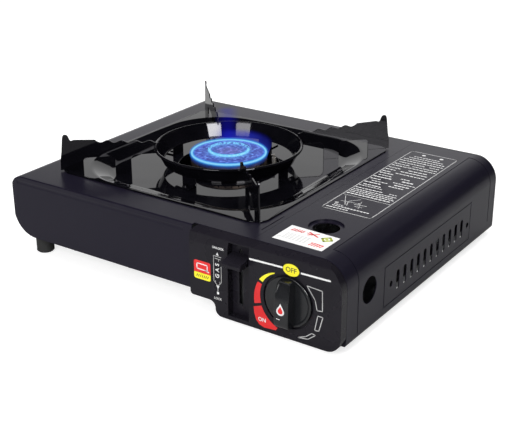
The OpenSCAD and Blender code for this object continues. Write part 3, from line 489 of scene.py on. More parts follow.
def runs_along(edge, level):
    """Whether a long edge near the panel's face lies at a level."""
    ends = [v.co for v in edge.verts]
    near = all(abs(c.z - level) < ON_LINE and c.y < panel_face + crown_depth for c in ends)
    return near and abs(ends[0].x - ends[1].x) > long_edge


for drop, bend in crown_bends:
    open_up(panel_twin)
    picked = choose("edge", lambda e: runs_along(e, panel_high.z - drop))
    bpy.ops.mesh.bevel(offset=bend, segments=4, affect="EDGES", clamp_overlap=True)
    close_up()
    print("rolled", picked, "edges of the crown")
round_edges(panel_twin, width=0.6 * MM, segments=2, angle=SOFTENED)
finish_piece(
    panel_twin, "front_panel_soft", "housing", panel_plastic, ["front_panel"]
)

# %% [markdown]
# ## The drip tray
# The real tray is one pressed sheet: a narrow lip that rests on the top plate, a dish with a
# sloping wall and wide round corners, a flat floor, and a round well with a collar for the
# burner. It could be carved out of a block, but a sheet is easier to shape by its bends. Each bend
# is an outline: a plane whose corners are rounded by a vertex bevel, and whose face is deleted.
# The outlines are bridged one to the next, the bends are beveled, and Solidify makes the sheet.

# %% Tray sizes from the model
tray_low, tray_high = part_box("drip_tray")
tray_x = (tray_low.x + tray_high.x) / 2
tray_y = (tray_low.y + tray_high.y) / 2
tray_half = (tray_high.x - tray_low.x) / 2
sheet = 0.8 * MM
lip_top = tray_high.z
floor_top = tray_low.z + sheet
lip_width = 4 * MM
lip_corner = 14 * MM
slope_width = 16.7 * MM
dish_radius = 60 * MM
well_radius = 46 * MM
collar_rise = 2.6 * MM
dish_bend = 1.6 * MM
floor_bend = 3 * MM
dish_half = tray_half - lip_width
lip_line = (tray_half, lip_corner, lip_top)
dish_line = (dish_half, dish_radius, lip_top)
floor_line = (dish_half - slope_width, dish_radius - slope_width, floor_top)
well_line = (well_radius + sheet, well_radius + sheet, floor_top)
print("tray", round(tray_half * 2, 4), "m square, dish", round(lip_top - floor_top, 4), "m deep")

# %% Draw the outlines
CORNER_STEPS = 16
OUTLINE_POINTS = 4 * (CORNER_STEPS + 1)


def rounded_square(half, radius, height):
    """The outline of a square with round corners, level at a height."""
    clear_selection()
    bpy.ops.mesh.primitive_plane_add(size=2 * half, location=(tray_x, tray_y, height))
    outline = made()
    open_up(outline)
    choose_all()
    bpy.ops.mesh.bevel(offset=radius, segments=CORNER_STEPS, affect="VERTICES")
    choose_all()
    bpy.ops.mesh.delete(type="ONLY_FACE")
    close_up()
    return outline


outlines = [rounded_square(*line) for line in (lip_line, dish_line, floor_line)]
clear_selection()
bpy.ops.mesh.primitive_circle_add(
    vertices=OUTLINE_POINTS,
    radius=well_line[0],
    location=(tray_x, tray_y, floor_top),
    rotation=(0, 0, math.radians(180 / OUTLINE_POINTS)),
)
outlines.append(made())
tray = join(*outlines)
print("outlines have", len(tray.data.vertices), "points")


# %% Bridge them into a sheet
def on_outline(point, half, radius, height):
    """Whether a point lies on a rounded square; a circle is one that is all corners."""
    across = max(abs(point.x - tray_x) - (half - radius), 0)
    along = max(abs(point.y - tray_y) - (half - radius), 0)
    off = abs(math.hypot(across, along) - radius)
    return abs(point.z - height) < NEAR and off < ON_LINE


def along_line(edge, line):
    return all(on_outline(v.co, *line) for v in edge.verts)


open_up(tray)
for outer, inner in ((lip_line, dish_line), (dish_line, floor_line), (floor_line, well_line)):
    choose("edge", lambda e: along_line(e, outer) or along_line(e, inner))
    bpy.ops.mesh.bridge_edge_loops()
choose_all()
bpy.ops.mesh.normals_make_consistent(inside=False)
close_up()
if sum(p.normal.z * p.area for p in tray.data.polygons) < 0:
    open_up(tray)
    choose_all()
    bpy.ops.mesh.flip_normals()
    close_up()
print("sheet has", len(tray.data.polygons), "faces")

# %% Raise the collar, soften the bends and give the sheet its thickness
open_up(tray)
choose("edge", lambda e: along_line(e, well_line))
bpy.ops.mesh.extrude_edges_move(TRANSFORM_OT_translate={"value": (0, 0, collar_rise)})
for line, bend, steps in ((dish_line, dish_bend, 3), (floor_line, floor_bend, 4)):
    choose("edge", lambda e: along_line(e, line))
    bpy.ops.mesh.bevel(offset=bend, segments=steps, affect="EDGES")
close_up()
apply_modifier(tray, "SOLIDIFY", thickness=sheet, offset=-1)
round_edges(tray, width=0.35 * MM, segments=3, angle=SOFTENED)
finish_piece(tray, "enamel_tray", "pan_support", tray_enamel, ["drip_tray"])

# %% [markdown]
# ## The pan ring
# The ring round the burner is a rolled strip: a band that narrows downward, a thick bead along its
# top and a thin bead along its lower edge, on four short legs with feet riveted to the tray.
# A cone without ends makes the band, a torus makes each bead, and one leg is modelled and copied
# round.

# %% Roll the band and its beads
ring_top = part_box("pan_ring")[1].z
ring_radius = 68 * MM
bead = 1.3 * MM
low_bead = 0.85 * MM
low_bead_inset = 0.4 * MM
rim_radius = ring_radius - bead
rim_z = ring_top - bead
throat_radius = 60 * MM
throat_rise = 7.1 * MM
throat_z = floor_top + throat_rise
band_thick = 1.1 * MM
RING_STEPS = 144
clear_selection()
bpy.ops.mesh.primitive_cone_add(
    vertices=RING_STEPS,
    radius1=throat_radius,
    radius2=rim_radius,
    depth=rim_z - throat_z,
    end_fill_type="NOTHING",
    location=(tray_x, tray_y, (rim_z + throat_z) / 2),
)
band = made()
apply_modifier(band, "SOLIDIFY", thickness=band_thick, offset=-1)


def rolled_bead(radius, thick, height):
    clear_selection()
    bpy.ops.mesh.primitive_torus_add(
        location=(tray_x, tray_y, height),
        major_radius=radius,
        minor_radius=thick,
        major_segments=RING_STEPS,
        minor_segments=16,
    )
    return made()


beads = [
    rolled_bead(rim_radius, bead, rim_z),
    rolled_bead(throat_radius - low_bead_inset, low_bead, throat_z + low_bead),
]
print("band rises", round((rim_z - throat_z) / MM, 1), "mm from its throat to its rim")

# %% [markdown]
# A leg is a thin plate with its foot bent outward. The foot is drawn out of the lowest strip of the
# plate. The three copies each get their own mesh and are turned about the ring's axis.

# %% One leg, copied to the four sides
leg_width = 15 * MM
leg_thick = 1.2 * MM
leg_height = throat_rise + 2 * MM
foot_length = 11 * MM
clear_selection()
bpy.ops.mesh.primitive_cube_add(
    size=1,
    location=(tray_x + throat_radius - leg_thick / 2, tray_y, floor_top + leg_height / 2),
    scale=(leg_thick, leg_width, leg_height),
)
leg = made()
open_up(leg)
choose_all()
bpy.ops.mesh.bisect(plane_co=(0, 0, floor_top + leg_thick), plane_no=(0, 0, 1))
choose("face", lambda f: f.normal.x > 0.9 and f.calc_center_median().z < floor_top + leg_thick)
bpy.ops.mesh.extrude_region_move(TRANSFORM_OT_translate={"value": (foot_length, 0, 0)})
close_up()
round_edges(leg, width=0.5 * MM, segments=2)
legs = [leg]
for quarter in (1, 2, 3):
    take(leg)
    bpy.ops.object.duplicate()
    copy = bpy.context.object
    open_up(copy)
    choose_all()
    bpy.ops.transform.rotate(
        value=math.radians(90 * quarter), orient_axis="Z", center_override=(tray_x, tray_y, 0)
    )
    close_up()
    legs.append(copy)
ring = join(band, *beads, *legs)
finish_piece(ring, "rolled_pan_ring", "pan_support", tray_enamel, ["pan_ring"])

# %% [markdown]
# ## The flame
# The burner's caps are exact in the CAD, so their solids stay. The flame is the only thing here
# that isn't solid: gas burns in a bright blue-white crown above each ring of ports, and fades to
# violet between and above them. It could be a smoke simulation, but a still flame is lighter as
# glowing skins: each one is a line turned round the burner with Spin, and its material fades it
# out by height or by distance from the axis.

# %% A glowing skin's material
burner_low, burner_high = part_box("burner_cap")
burner_x = (burner_low.x + burner_high.x) / 2
burner_y = (burner_low.y + burner_high.y) / 2
port_z = burner_high.z - 3.5 * MM
port_mm = port_z / MM
BRIGHT_SIDE = Vector((0.59, -0.81, 0))  # toward the front right
ACROSS = Vector((0.81, 0.59, 0))  # level and square to the bright side
FLAME_STEP = 4  # degrees that Spin turns a line at a time


def axis_distance(tree):
    """Distance from the burner's axis, read from the piece's own coordinates."""
    place = tree.nodes.new("ShaderNodeTexCoord")
    centre = tree.nodes.new("ShaderNodeMapping")
    centre.inputs["Location"].default_value = (-burner_x, -burner_y, 0)
    flat = tree.nodes.new("ShaderNodeVectorMath")
    flat.operation = "MULTIPLY"
    flat.inputs[1].default_value = (1, 1, 0)
    length = tree.nodes.new("ShaderNodeVectorMath")
    length.operation = "LENGTH"
    tree.links.new(place.outputs["Object"], centre.inputs["Vector"])
    tree.links.new(centre.outputs["Vector"], flat.inputs[0])
    tree.links.new(flat.outputs["Vector"], length.inputs[0])
    return length.outputs["Value"]


def own_height(tree):
    """Height above the floor, read from the piece's own coordinates."""
    place = tree.nodes.new("ShaderNodeTexCoord")
    parts = tree.nodes.new("ShaderNodeSeparateXYZ")
    tree.links.new(place.outputs["Object"], parts.inputs["Vector"])
    return parts.outputs["Z"]


def narrowing(tree, offset, half):
    """1 on an upright plane through the burner, moved sideways by offset, and 0 at half away."""
    place = tree.nodes.new("ShaderNodeTexCoord")
    dot = tree.nodes.new("ShaderNodeVectorMath")
    dot.operation = "DOT_PRODUCT"
    dot.inputs[1].default_value = ACROSS
    tree.links.new(place.outputs["Object"], dot.inputs[0])
    middle = burner_x * ACROSS.x + burner_y * ACROSS.y + offset
    side = math_node(tree, "SUBTRACT", dot.outputs["Value"], middle)
    fade = tree.nodes.new("ShaderNodeMapRange")
    fade.interpolation_type = "SMOOTHSTEP"
    fade.inputs["From Max"].default_value = half
    fade.inputs["To Min"].default_value = 1.0
    fade.inputs["To Max"].default_value = 0.0
    tree.links.new(math_node(tree, "ABSOLUTE", side, 0.0), fade.inputs["Value"])
    return fade.outputs["Result"]


def glow(name, measure, low, high, stops, flicker=0.0, flicker_scale=120.0, narrow=None):
    """A light that changes from low to high: stops are (position, colour, how solid it is)."""
    finish = bpy.data.materials.new(name)
    finish.use_nodes = True
    tree = finish.node_tree
    tree.nodes.remove(tree.nodes["Principled BSDF"])
    output = tree.nodes["Material Output"]
    along = tree.nodes.new("ShaderNodeMapRange")
    along.inputs["From Min"].default_value = low
    along.inputs["From Max"].default_value = high
    tree.links.new(measure(tree), along.inputs["Value"])
    ramp = tree.nodes.new("ShaderNodeValToRGB")
    ramp.color_ramp.interpolation = "EASE"
    while len(ramp.color_ramp.elements) < len(stops):
        ramp.color_ramp.elements.new(0.5)
    for element, (position, colour, solid) in zip(ramp.color_ramp.elements, stops):
        element.position = position
        element.color = (*colour, solid)
    tree.links.new(along.outputs["Result"], ramp.inputs["Fac"])
    solidity = ramp.outputs["Alpha"]
    if flicker:
        patches = spread(tree, wander(tree, flicker_scale, 2.0), 1 - flicker, 1 + flicker / 2)
        solidity = math_node(tree, "MULTIPLY", solidity, patches)
    if narrow:
        solidity = math_node(tree, "MULTIPLY", solidity, narrowing(tree, *narrow))
    light = tree.nodes.new("ShaderNodeEmission")
    light.inputs["Strength"].default_value = 1.0
    clear = tree.nodes.new("ShaderNodeBsdfTransparent")
    mix = tree.nodes.new("ShaderNodeMixShader")
    tree.links.new(ramp.outputs["Color"], light.inputs["Color"])
    tree.links.new(solidity, mix.inputs["Fac"])
    tree.links.new(clear.outputs["BSDF"], mix.inputs[1])
    tree.links.new(light.outputs["Emission"], mix.inputs[2])
    tree.links.new(mix.outputs["Shader"], output.inputs["Surface"])
    return finish


# %% [markdown]
# A skin starts as a line in an upright plane: a circle with as many points as the line has, less the
# edge that closes it. Its points are moved into place, and Spin turns it round the axis. The brightest
# parts are thin rings, each a torus.


# %% A skin of flame, and a ring of flame
def as_flame(piece, name, material):
    piece.visible_glossy = False
    return finish_piece(piece, name, "housing", material, angle=60)


def flame_skin(name, outline, material, start=0.0, sweep=360.0):
    """Turns an outline of (radius, height) pairs in millimetres round the burner's axis."""
    clear_selection()
    bpy.ops.mesh.primitive_circle_add(vertices=len(outline), radius=MM, fill_type="NOTHING")
    skin = bpy.context.object
    out = Vector((math.cos(math.radians(start)), math.sin(math.radians(start)), 0)) * MM
    for vertex, (radius, rise) in zip(skin.data.vertices, outline):
        vertex.co = Vector((burner_x, burner_y, rise * MM)) + out * radius
    ends = sorted((outline[0][1] * MM, outline[-1][1] * MM))

    def closes(edge):
        """Whether an edge joins the line's last point to its first."""
        levels = sorted(v.co.z for v in edge.verts)
        return all(abs(level - end) < SAME_POINT for level, end in zip(levels, ends))

    open_up(skin)
    choose("edge", closes)
    bpy.ops.mesh.delete(type="EDGE")
    choose_all()
    bpy.ops.mesh.spin(
        steps=max(12, round(sweep / FLAME_STEP)),
        angle=-math.radians(sweep),
        center=(burner_x, burner_y, 0),
        axis=(0, 0, 1),
    )
    choose_all()
    bpy.ops.mesh.remove_doubles(threshold=10 * SAME_POINT)
    bpy.ops.mesh.normals_make_consistent(inside=False)
    close_up()
    return as_flame(skin, name, material)


def flame_ring(name, radius, rise, thick, material, front_only=False):
    """A glowing torus with its sizes in millimetres, or only its half on the bright side."""
    clear_selection()
    bpy.ops.mesh.primitive_torus_add(
        location=(burner_x, burner_y, rise * MM),
        major_radius=radius * MM,
        minor_radius=thick * MM,
        major_segments=96,
        minor_segments=12,
    )
    ring_of_fire = made()
    if front_only:
        open_up(ring_of_fire)
        choose_all()
        bpy.ops.mesh.bisect(
            plane_co=(burner_x, burner_y, rise * MM), plane_no=-BRIGHT_SIDE, clear_outer=True
        )
        close_up()
    return as_flame(ring_of_fire, name, material)


# %% [markdown]
# Each crown is a bright core inside wider and fainter rings, which gives it a soft edge. Heights are
# in millimetres and are counted up from the ports. The inner crown is bright on its front half, and
# only sparks go all the way round.


# %% The two crowns
def even_glow(name, colour, solid, **flickering):
    """A light of one colour all over."""
    stops = [(0.0, colour, solid), (1.0, colour, solid)]
    return glow(name, own_height, 0.0, 1.0, stops, **flickering)


crown_core = even_glow("crown_core", (0.5, 1.0, 1.1), 0.8)
crown_mantle = even_glow("crown_mantle", (0.12, 0.6, 1.0), 0.4)
crown_edge = even_glow("crown_edge", (0.03, 0.2, 0.75), 0.22)
crown_sparks = even_glow("crown_sparks", (0.2, 0.6, 1.0), 0.8, flicker=1.8, flicker_scale=420.0)
outer_radius, outer_rise = 33.8, port_mm + 4.5
inner_radius, inner_rise = 17.6, port_mm + 7.2
flame_ring("flame_outer_core", outer_radius, outer_rise, 0.75, crown_core)
flame_ring("flame_outer_mantle", outer_radius, outer_rise, 1.4, crown_mantle)
flame_ring("flame_outer_edge", outer_radius, outer_rise, 2.4, crown_edge)
flame_ring("flame_inner_core", inner_radius, inner_rise, 0.7, crown_core, front_only=True)
flame_ring("flame_inner_mantle", inner_radius, inner_rise, 1.3, crown_mantle, front_only=True)
flame_ring("flame_inner_sparks", inner_radius + 0.6, inner_rise, 1.1, crown_sparks)
foot_light = glow(
    "flame_foot",
    own_height,
    port_z - 1.0 * MM,
    port_z + 4.5 * MM,
    [
        (0.0, (0.01, 0.03, 0.15), 0.0),
        (0.5, (0.012, 0.05, 0.3), 0.45),
        (1.0, (0.02, 0.16, 0.6), 0.7),
    ],
    flicker=0.5,
    flicker_scale=380.0,
)
flame_skin(
    "flame_foot",
    [(35.4, port_mm - 1.0), (35.2, port_mm + 1.5), (34.4, port_mm + 4.5)],
    foot_light,
)

# %% [markdown]
# Between the crowns the flame is a violet sheet with brighter specks. Behind the burner a faint blue
# haze rises: a narrow plume, and round its foot a low haze that is wider.

# %% The violet sheet between them, and the haze behind
sheet_light = glow(
    "flame_sheet",
    axis_distance,
    4 * MM,
    35 * MM,
    [
        (0.0, (0.14, 0.17, 0.56), 0.8),
        (0.36, (0.1, 0.17, 0.6), 0.82),
        (0.46, (0.12, 0.26, 0.75), 0.85),
        (0.6, (0.08, 0.12, 0.55), 0.78),
        (0.85, (0.09, 0.13, 0.6), 0.82),
        (1.0, (0.08, 0.35, 0.9), 0.9),
    ],
    flicker=0.3,
    flicker_scale=330.0,
)
flame_skin(
    "flame_sheet",
    [(0.4, port_mm + 5.2), (16, port_mm + 5.4), (26, port_mm + 5.0), (34, port_mm + 4.5)],
    sheet_light,
)
spark_light = glow(
    "flame_specks",
    axis_distance,
    4 * MM,
    34 * MM,
    [(0.0, (0.3, 0.32, 0.9), 0.4), (0.5, (0.2, 0.4, 1.0), 0.45), (1.0, (0.2, 0.3, 0.95), 0.4)],
    flicker=2.4,
    flicker_scale=300.0,
)
flame_skin(
    "flame_specks",
    [(0.4, port_mm + 5.5), (16, port_mm + 5.7), (26, port_mm + 5.3), (33, port_mm + 4.8)],
    spark_light,
)
HAZE = (0.006, 0.006, 0.48)
plume_top = 108.0
low_haze_rise = 15
plume_light = glow(
    "flame_plume",
    own_height,
    port_z + 4 * MM,
    plume_top * MM,
    [(0.0, HAZE, 0.6), (0.4, HAZE, 0.3), (0.9, HAZE, 0.34), (1.0, HAZE, 0.0)],
    flicker=0.3,
    flicker_scale=60.0,
    narrow=(-1 * MM, 13 * MM),
)
flame_skin(
    "flame_plume",
    [(36, port_mm + 5), (40, port_mm + 15), (48, plume_top - 4), (60, plume_top)],
    plume_light,
    start=88,
    sweep=76,
)
low_haze_light = glow(
    "flame_low_haze",
    own_height,
    port_z + 4 * MM,
    port_z + low_haze_rise * MM,
    [(0.0, (0.03, 0.05, 0.5), 0.95), (0.45, (0.02, 0.03, 0.45), 0.75), (1.0, HAZE, 0.0)],
    flicker=0.3,
    flicker_scale=60.0,
    narrow=(15 * MM, 37 * MM),
)
flame_skin(
    "flame_low_haze",
    [(36, port_mm + 4), (38, port_mm + 9), (40.5, port_mm + low_haze_rise)],
    low_haze_light,
    start=20,
    sweep=200,
)

# %% [markdown]
# ## The knob
# A moulded disc with a finger grip across it. The grip stands out most below its middle and slopes
# back to the disc at the top, so that a thumb finds its direction. The disc is a cylinder whose face
# is inset twice, with a shallow step between its rim and its middle.

# %% Disc
knob_low, knob_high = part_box("knob")
knob_x = (knob_low.x + knob_high.x) / 2
knob_z = (knob_low.z + knob_high.z) / 2
knob_radius = (knob_high.x - knob_low.x) / 2
grip_height = 10.3 * MM
grip_front = knob_low.y
disc_front = grip_front + grip_height
disc_back = knob_high.y
rim_width = 1.6 * MM
step_width = 1.2 * MM
step_depth = 0.4 * MM
clear_selection()
bpy.ops.mesh.primitive_cylinder_add(
    vertices=96,
    radius=knob_radius,
    depth=disc_back - disc_front,
    location=(knob_x, (disc_back + disc_front) / 2, knob_z),
    rotation=(math.radians(90), 0, 0),
)
disc = made()
open_up(disc)
choose("face", lambda f: f.normal.y < -0.9)
bpy.ops.mesh.inset(thickness=rim_width)
bpy.ops.mesh.inset(thickness=step_width)
bpy.ops.transform.translate(value=(0, step_depth, 0))
close_up()
round_edges(disc, width=0.6 * MM, segments=3, angle=12)
print("knob", round(2 * knob_radius / MM, 1), "mm across")

# %% [markdown]
# The grip is a cube with a few cuts near its edges. Its two ends are moved back, and a subdivision
# surface rounds it off: an edge comes out the rounder, the farther the nearest cut is from it.

# %% Shape the grip
INK = 0.06 * MM
grip_face = grip_front + 2.5 * INK  # leaves room for the drop's ink within the knob's depth
grip_width = 13 * MM
grip_top = knob_z + knob_radius - 1.2 * MM
grip_bottom = knob_z - knob_radius + 1.8 * MM
slope_start = knob_z + 0.36 * knob_radius
foot_start = knob_z - knob_radius + 10 * MM
half_width = grip_width / 2
grip_root = 1.0 * MM  # how far the grip reaches into the disc
side_cut = 2.4 * MM
face_cut = 2.2 * MM
base_cut = 1.2 * MM
end_cut = 1.6 * MM
top_taper = 0.7
clear_selection()
bpy.ops.mesh.primitive_cube_add(
    size=1,
    location=(knob_x, (grip_face + disc_front + grip_root) / 2, (grip_top + grip_bottom) / 2),
    scale=(grip_width, disc_front - grip_face + grip_root, grip_top - grip_bottom),
)
grip = made()
open_up(grip)
cuts = [((0, 0, z), (0, 0, 1)) for z in (slope_start, foot_start, grip_bottom + end_cut)]
cuts += [((knob_x + x, 0, 0), (1, 0, 0)) for x in (side_cut - half_width, half_width - side_cut)]
cuts += [((0, y, 0), (0, 1, 0)) for y in (grip_face + face_cut, disc_front - base_cut)]
for place, normal in cuts:
    choose_all()
    bpy.ops.mesh.bisect(plane_co=place, plane_no=normal)


def at_level(level, depth):
    """Picks the points at a level that are no deeper than depth."""
    return lambda v: abs(v.co.z - level) < NEAR and v.co.y < depth


for level, set_back in ((grip_top, grip_height - base_cut), (grip_bottom, grip_height / 3)):
    choose("point", at_level(level, grip_face + NEAR))
    bpy.ops.transform.translate(value=(0, set_back, 0))
choose("point", at_level(grip_top, disc_front - base_cut - 0.1 * MM))
bpy.ops.transform.resize(value=(top_taper, 1, 1), center_override=(knob_x, disc_front, grip_top))
close_up()
apply_modifier(grip, "SUBSURF", levels=3, render_levels=3)
knob = join(disc, grip)
finish_piece(knob, "moulded_knob", "knob_unit", knob_plastic, ["knob"])

# %% [markdown]
# ## Printed ink
# The panel's marks are screen printed: flat patches a few hundredths of a millimetre thick. Each
# mark starts as a filled circle with as many points as its outline has corners. The points are
# moved to the outline, and the patch gets its thickness. Patches of one colour become one piece.

# %% A patch of ink, and a print of many patches
LIFT = 0.01 * MM  # keeps a print's underside off the face below it


def outline_patch(points, place):
    """A filled outline: place turns each pair, in millimetres on its face, into a point."""
    clear_selection()
    bpy.ops.mesh.primitive_circle_add(vertices=len(points), radius=MM, fill_type="NGON")
    patch = bpy.context.object
    for vertex, (a, b) in zip(patch.data.vertices, points):
        vertex.co = place(a * MM, b * MM)
    return patch


def raise_ink(patch, direction, depth=INK):
    """Pulls a flat patch out into a thin slab that points along direction."""
    open_up(patch)
    choose_all()
    bpy.ops.mesh.normals_make_consistent(inside=False)
    bpy.ops.mesh.extrude_region_move(TRANSFORM_OT_translate={"value": direction * depth})
    choose_all()
    bpy.ops.mesh.normals_make_consistent(inside=False)
    close_up()
    return patch


def printed(outlines, place, direction, name, body, ink, depth=INK):
    """One piece of print, made of the patches of all the outlines."""
    patches = [raise_ink(outline_patch(points, place), direction, depth) for points in outlines]
    return finish_piece(join(*patches), name, body, ink)


toward_front = Vector((0, -1, 0))
upward = Vector((0, 0, 1))


def on_panel(a, b):
    return Vector((a, panel_face - LIFT, b))


def over_panel(a, b):
    return Vector((a, panel_face - 1.2 * INK, b))


def print_on_panel(outlines, name, ink, place=on_panel):
    return printed(outlines, place, toward_front, name, "housing", ink)


# %% [markdown]
# The marks share a few outlines: bands and bars that follow the knob's circle, bars with round ends,
# ovals, and frames made of bars. Each is a short formula, so a mark is only its places and widths.


# %% Outlines that the marks share
def arc_points(radius_of, start, end, steps=14):
    """Points round the knob's axis in millimetres; angles in degrees from the right, upwards."""
    found = []
    for k in range(steps + 1):
        angle = start + (end - start) * k / steps
        radius = radius_of(k / steps)
        found.append(
            (
                knob_x / MM + radius * math.cos(math.radians(angle)),
                knob_z / MM + radius * math.sin(math.radians(angle)),
            )
        )
    return found


def swept_band(inner, outer, start, end):
    """A band round the knob between two radii, each given at its start and at its end."""
    inside = arc_points(lambda t: inner[0] + (inner[1] - inner[0]) * t, start, end)
    outside = arc_points(lambda t: outer[0] + (outer[1] - outer[0]) * t, start, end)
    return inside + outside[::-1]


def stroke(a, b, width):
    """A bar with round ends from a to b."""
    along = math.atan2(b[1] - a[1], b[0] - a[0])
    points = []
    for end, first in ((b, along - math.pi / 2), (a, along + math.pi / 2)):
        for k in range(9):
            turn = first + math.pi * k / 8
            points.append((end[0] + width / 2 * math.cos(turn), end[1] + width / 2 * math.sin(turn)))
    return points


def oval(cx, cz, rx, rz, steps=40):
    """An oval about (cx, cz) that reaches rx sideways and rz up."""
    return [
        (cx + rx * math.cos(2 * math.pi * k / steps), cz + rz * math.sin(2 * math.pi * k / steps))
        for k in range(steps)
    ]


def closed_line(points, width):
    """Bars along an outline, from each corner to the next and back to the first."""
    return [stroke(points[k - 1], points[k], width) for k in range(len(points))]


# %% [markdown]
# A yellow band and then a red one run round the knob and widen from OFF to ON. OFF stands in a
# yellow oval and ON in a red field, and thin open outlines follow at the right. All places are in
# millimetres on the panel.

# %% The dial's marks round the knob
line_width = 0.65
bold_line = 1.5
flame_signs = (
    [(141.5, 53.2), (154.9, 52.3), (155.3, 35.5), (150.6, 35.1), (148.9, 43.0)],
    [(151.4, 30.8), (155.8, 30.6), (152.5, 18.1), (148.8, 17.9)],
    [(134.0, 7.2), (141.0, 10.0), (146.4, 14.4), (149.6, 13.6), (143.0, 8.3)],
)
on_field = arc_points(lambda t: 26.6 + 0.6 * t, 203, 249)
on_field += [(113.8, 7.0), (103.0, 6.2), (98.6, 7.6), (95.4, 11.0), (93.6, 17.0), (93.2, 22.0)]
print_on_panel(
    [
        stroke((89.8, 61.7), (119.2, 62.5), bold_line),
        stroke((136.6, 62.0), (161.2, 62.4), bold_line),
    ],
    "dial_white_ink",
    white_ink_and_painted_highlight,
)
print_on_panel(
    [bar for sign in flame_signs for bar in closed_line(sign, line_width)],
    "dial_grey_ink",
    grey_ink,
)
print_on_panel(
    [swept_band((25.4, 26.2), (29.4, 32.6), 161, 198), on_field], "dial_red_ink", red_ink
)
print_on_panel(
    [swept_band((23.8, 25.6), (24.6, 29.2), 121, 156), oval(127.4, 62.2, 7.2, 5.0)],
    "dial_yellow_ink",
    yellow_ink,
)

# %% [markdown]
# ON and OFF are plain words on any switch. Text is set at its width, made a mesh, and only then moved
# to its place.


# %% The words ON and OFF
def lettering(text, centre, across, bold=0.03, spacing=1.0, upward_text=False):
    """Letters on the panel, as wide as across, made a mesh before their place is applied."""
    clear_selection()
    turn = math.radians(-90) if upward_text else 0
    bpy.ops.object.text_add(rotation=(math.radians(90), turn, 0))
    letters = bpy.context.object
    letters.data.body = text
    letters.data.align_x = "CENTER"
    letters.data.align_y = "CENTER"
    letters.data.offset = bold
    letters.data.space_character = spacing
    letters.data.resolution_u = 4
    bpy.context.view_layer.update()
    letters.data.size = across * MM / letters.dimensions.x
    letters.data.offset = bold * letters.data.size
    letters.data.extrude = INK / 2
    letters.location = (centre[0] * MM, panel_face - 1.6 * INK, centre[1] * MM)
    bpy.ops.object.convert(target="MESH")
    return made()


finish_piece(lettering("OFF", (127.4, 62.1), 9.6, 0.012), "off_word", "housing", olive_ink)
finish_piece(lettering("ON", (101.0, 12.4), 7.0, 0.02), "on_word", "housing", white_ink_and_painted_highlight)

# %% [markdown]
# ## The marks beside the lever
# A strip of plain signs shows which way the lever goes: plain words at both ends, a dot, pointers
# and a narrow frame between them. The coloured patch at its left has no words: a red field with an
# open frame and a yellow strip.

# %% Lever strip
strip_x = 58.8
strip_line = 0.45


def pointer(z, half, tip):
    """A triangle on the strip's middle line; tip is 1 for up and -1 for down."""
    foot = z - tip * half
    return [(strip_x - half, foot), (strip_x + half, foot), (strip_x, z + tip * half)]


strip_signs = [
    pointer(57.9, 1.3, 1),
    pointer(28.6, 1.6, -1),
    oval(strip_x, 23.6, 1.2, 1.2, 20),
    stroke((strip_x, 25.4), (strip_x, 27.6), 0.4),
]
strip_ends = (
    ((55.0, 55.6), (55.0, 33.6)),
    ((62.3, 47.4), (62.3, 33.6)),
    ((55.0, 55.6), (62.3, 55.4)),
    ((56.4, 53.6), (61.6, 53.4)),
    ((59.9, 53.4), (59.9, 51.6)),
    ((55.0, 33.6), (strip_x, 30.0)),
    ((62.3, 33.6), (strip_x, 30.0)),
    ((56.6, 34.0), (56.6, 31.6)),
    ((60.9, 34.0), (60.9, 31.6)),
)
lever_strip = join(
    *[raise_ink(outline_patch(points, on_panel), toward_front) for points in strip_signs],
    lettering("UNLOCK", (59.5, 62.8), 11.0, 0.02),
    lettering("LOCK", (58.7, 18.6), 7.4, 0.01),
    lettering("GAS", (58.7, 43.2), 12.6, 0.02, 1.7, upward_text=True),
)
finish_piece(lever_strip, "lever_strip_ink", "housing", white_ink_and_painted_highlight)
print_on_panel([stroke(*ends, strip_line) for ends in strip_ends], "lever_strip_lines", grey_ink)

# %% [markdown]
# The red field and the yellow strip under it share one outline: a rounded end and a straight end
# where they meet. The frame and the bars are printed over them.

# %% Coloured patch
patch_left, patch_right = 35.4, 51.8


def round_ended(straight, end):
    """A field with its straight side at one height and its rounded side at the other."""
    inward = 1 if end < straight else -1
    corner_heights = (end + 1.6 * inward, end + 0.5 * inward, end)
    insets = (0.0, 0.4, 1.5)
    rounded = list(zip(insets, corner_heights))
    right = [(patch_right - inset, z) for inset, z in rounded]
    left = [(patch_left + inset, z) for inset, z in rounded[::-1]]
    return [(patch_left, straight), (patch_right, straight)] + right + left


print_on_panel([round_ended(37.2, 47.6)], "patch_red_field", red_ink)
print_on_panel([round_ended(37.0, 31.4)], "patch_yellow_strip", yellow_ink)
open_frame = closed_line([(38.4, 45.0), (48.6, 44.8), (48.6, 40.0), (38.4, 40.2)], 0.9)
open_frame.append(stroke((46.6, 40.0), (50.0, 39.2), 0.9))
print_on_panel(open_frame, "patch_white_frame", white_ink_and_painted_highlight, over_panel)
bar_places = [38.0 + 1.8 * k for k in range(7)]
patch_bars = [stroke((x, 33.4), (x + 0.7, 35.2), 0.6) for x in bar_places]
print_on_panel(patch_bars, "patch_dark_bars", olive_ink, over_panel)

# %% [markdown]
# ## The drop on the grip
# The grip carries a small drop of fire, a plain sign for heat: a white patch with a red centre. The
# short white line under it, on the grip's lower edge, is a painted highlight. They ride on the knob.

# %% Fire drop
# The outline goes round from the tip: down the right side, under the belly, up the left side.
drop = [
    (0.0, 5.2), (0.9, 3.6), (2.4, 1.4), (3.4, -0.8), (3.5, -2.4), (2.8, -3.9), (1.4, -4.8),
    (0.0, -5.0), (-1.4, -4.8), (-2.8, -3.9), (-3.5, -2.4), (-3.4, -0.8), (-2.6, 0.9), (-1.2, 2.6),
]
drop_z = knob_z - 2 * MM
centre_share = 0.62
centre_drop = 0.5
small_drop = [(a * centre_share, b * centre_share - centre_drop) for a, b in drop]
# A painted highlight: the glint on the grip's lower edge, drawn as a short white line.
edge_highlight_line = stroke((-3.4, -8.4), (-0.6, -8.6), 0.5)


def on_grip(a, b):
    return Vector((knob_x + a, grip_face - LIFT, drop_z + b))


def over_grip(a, b):
    return Vector((knob_x + a, grip_face - LIFT - INK, drop_z + b))


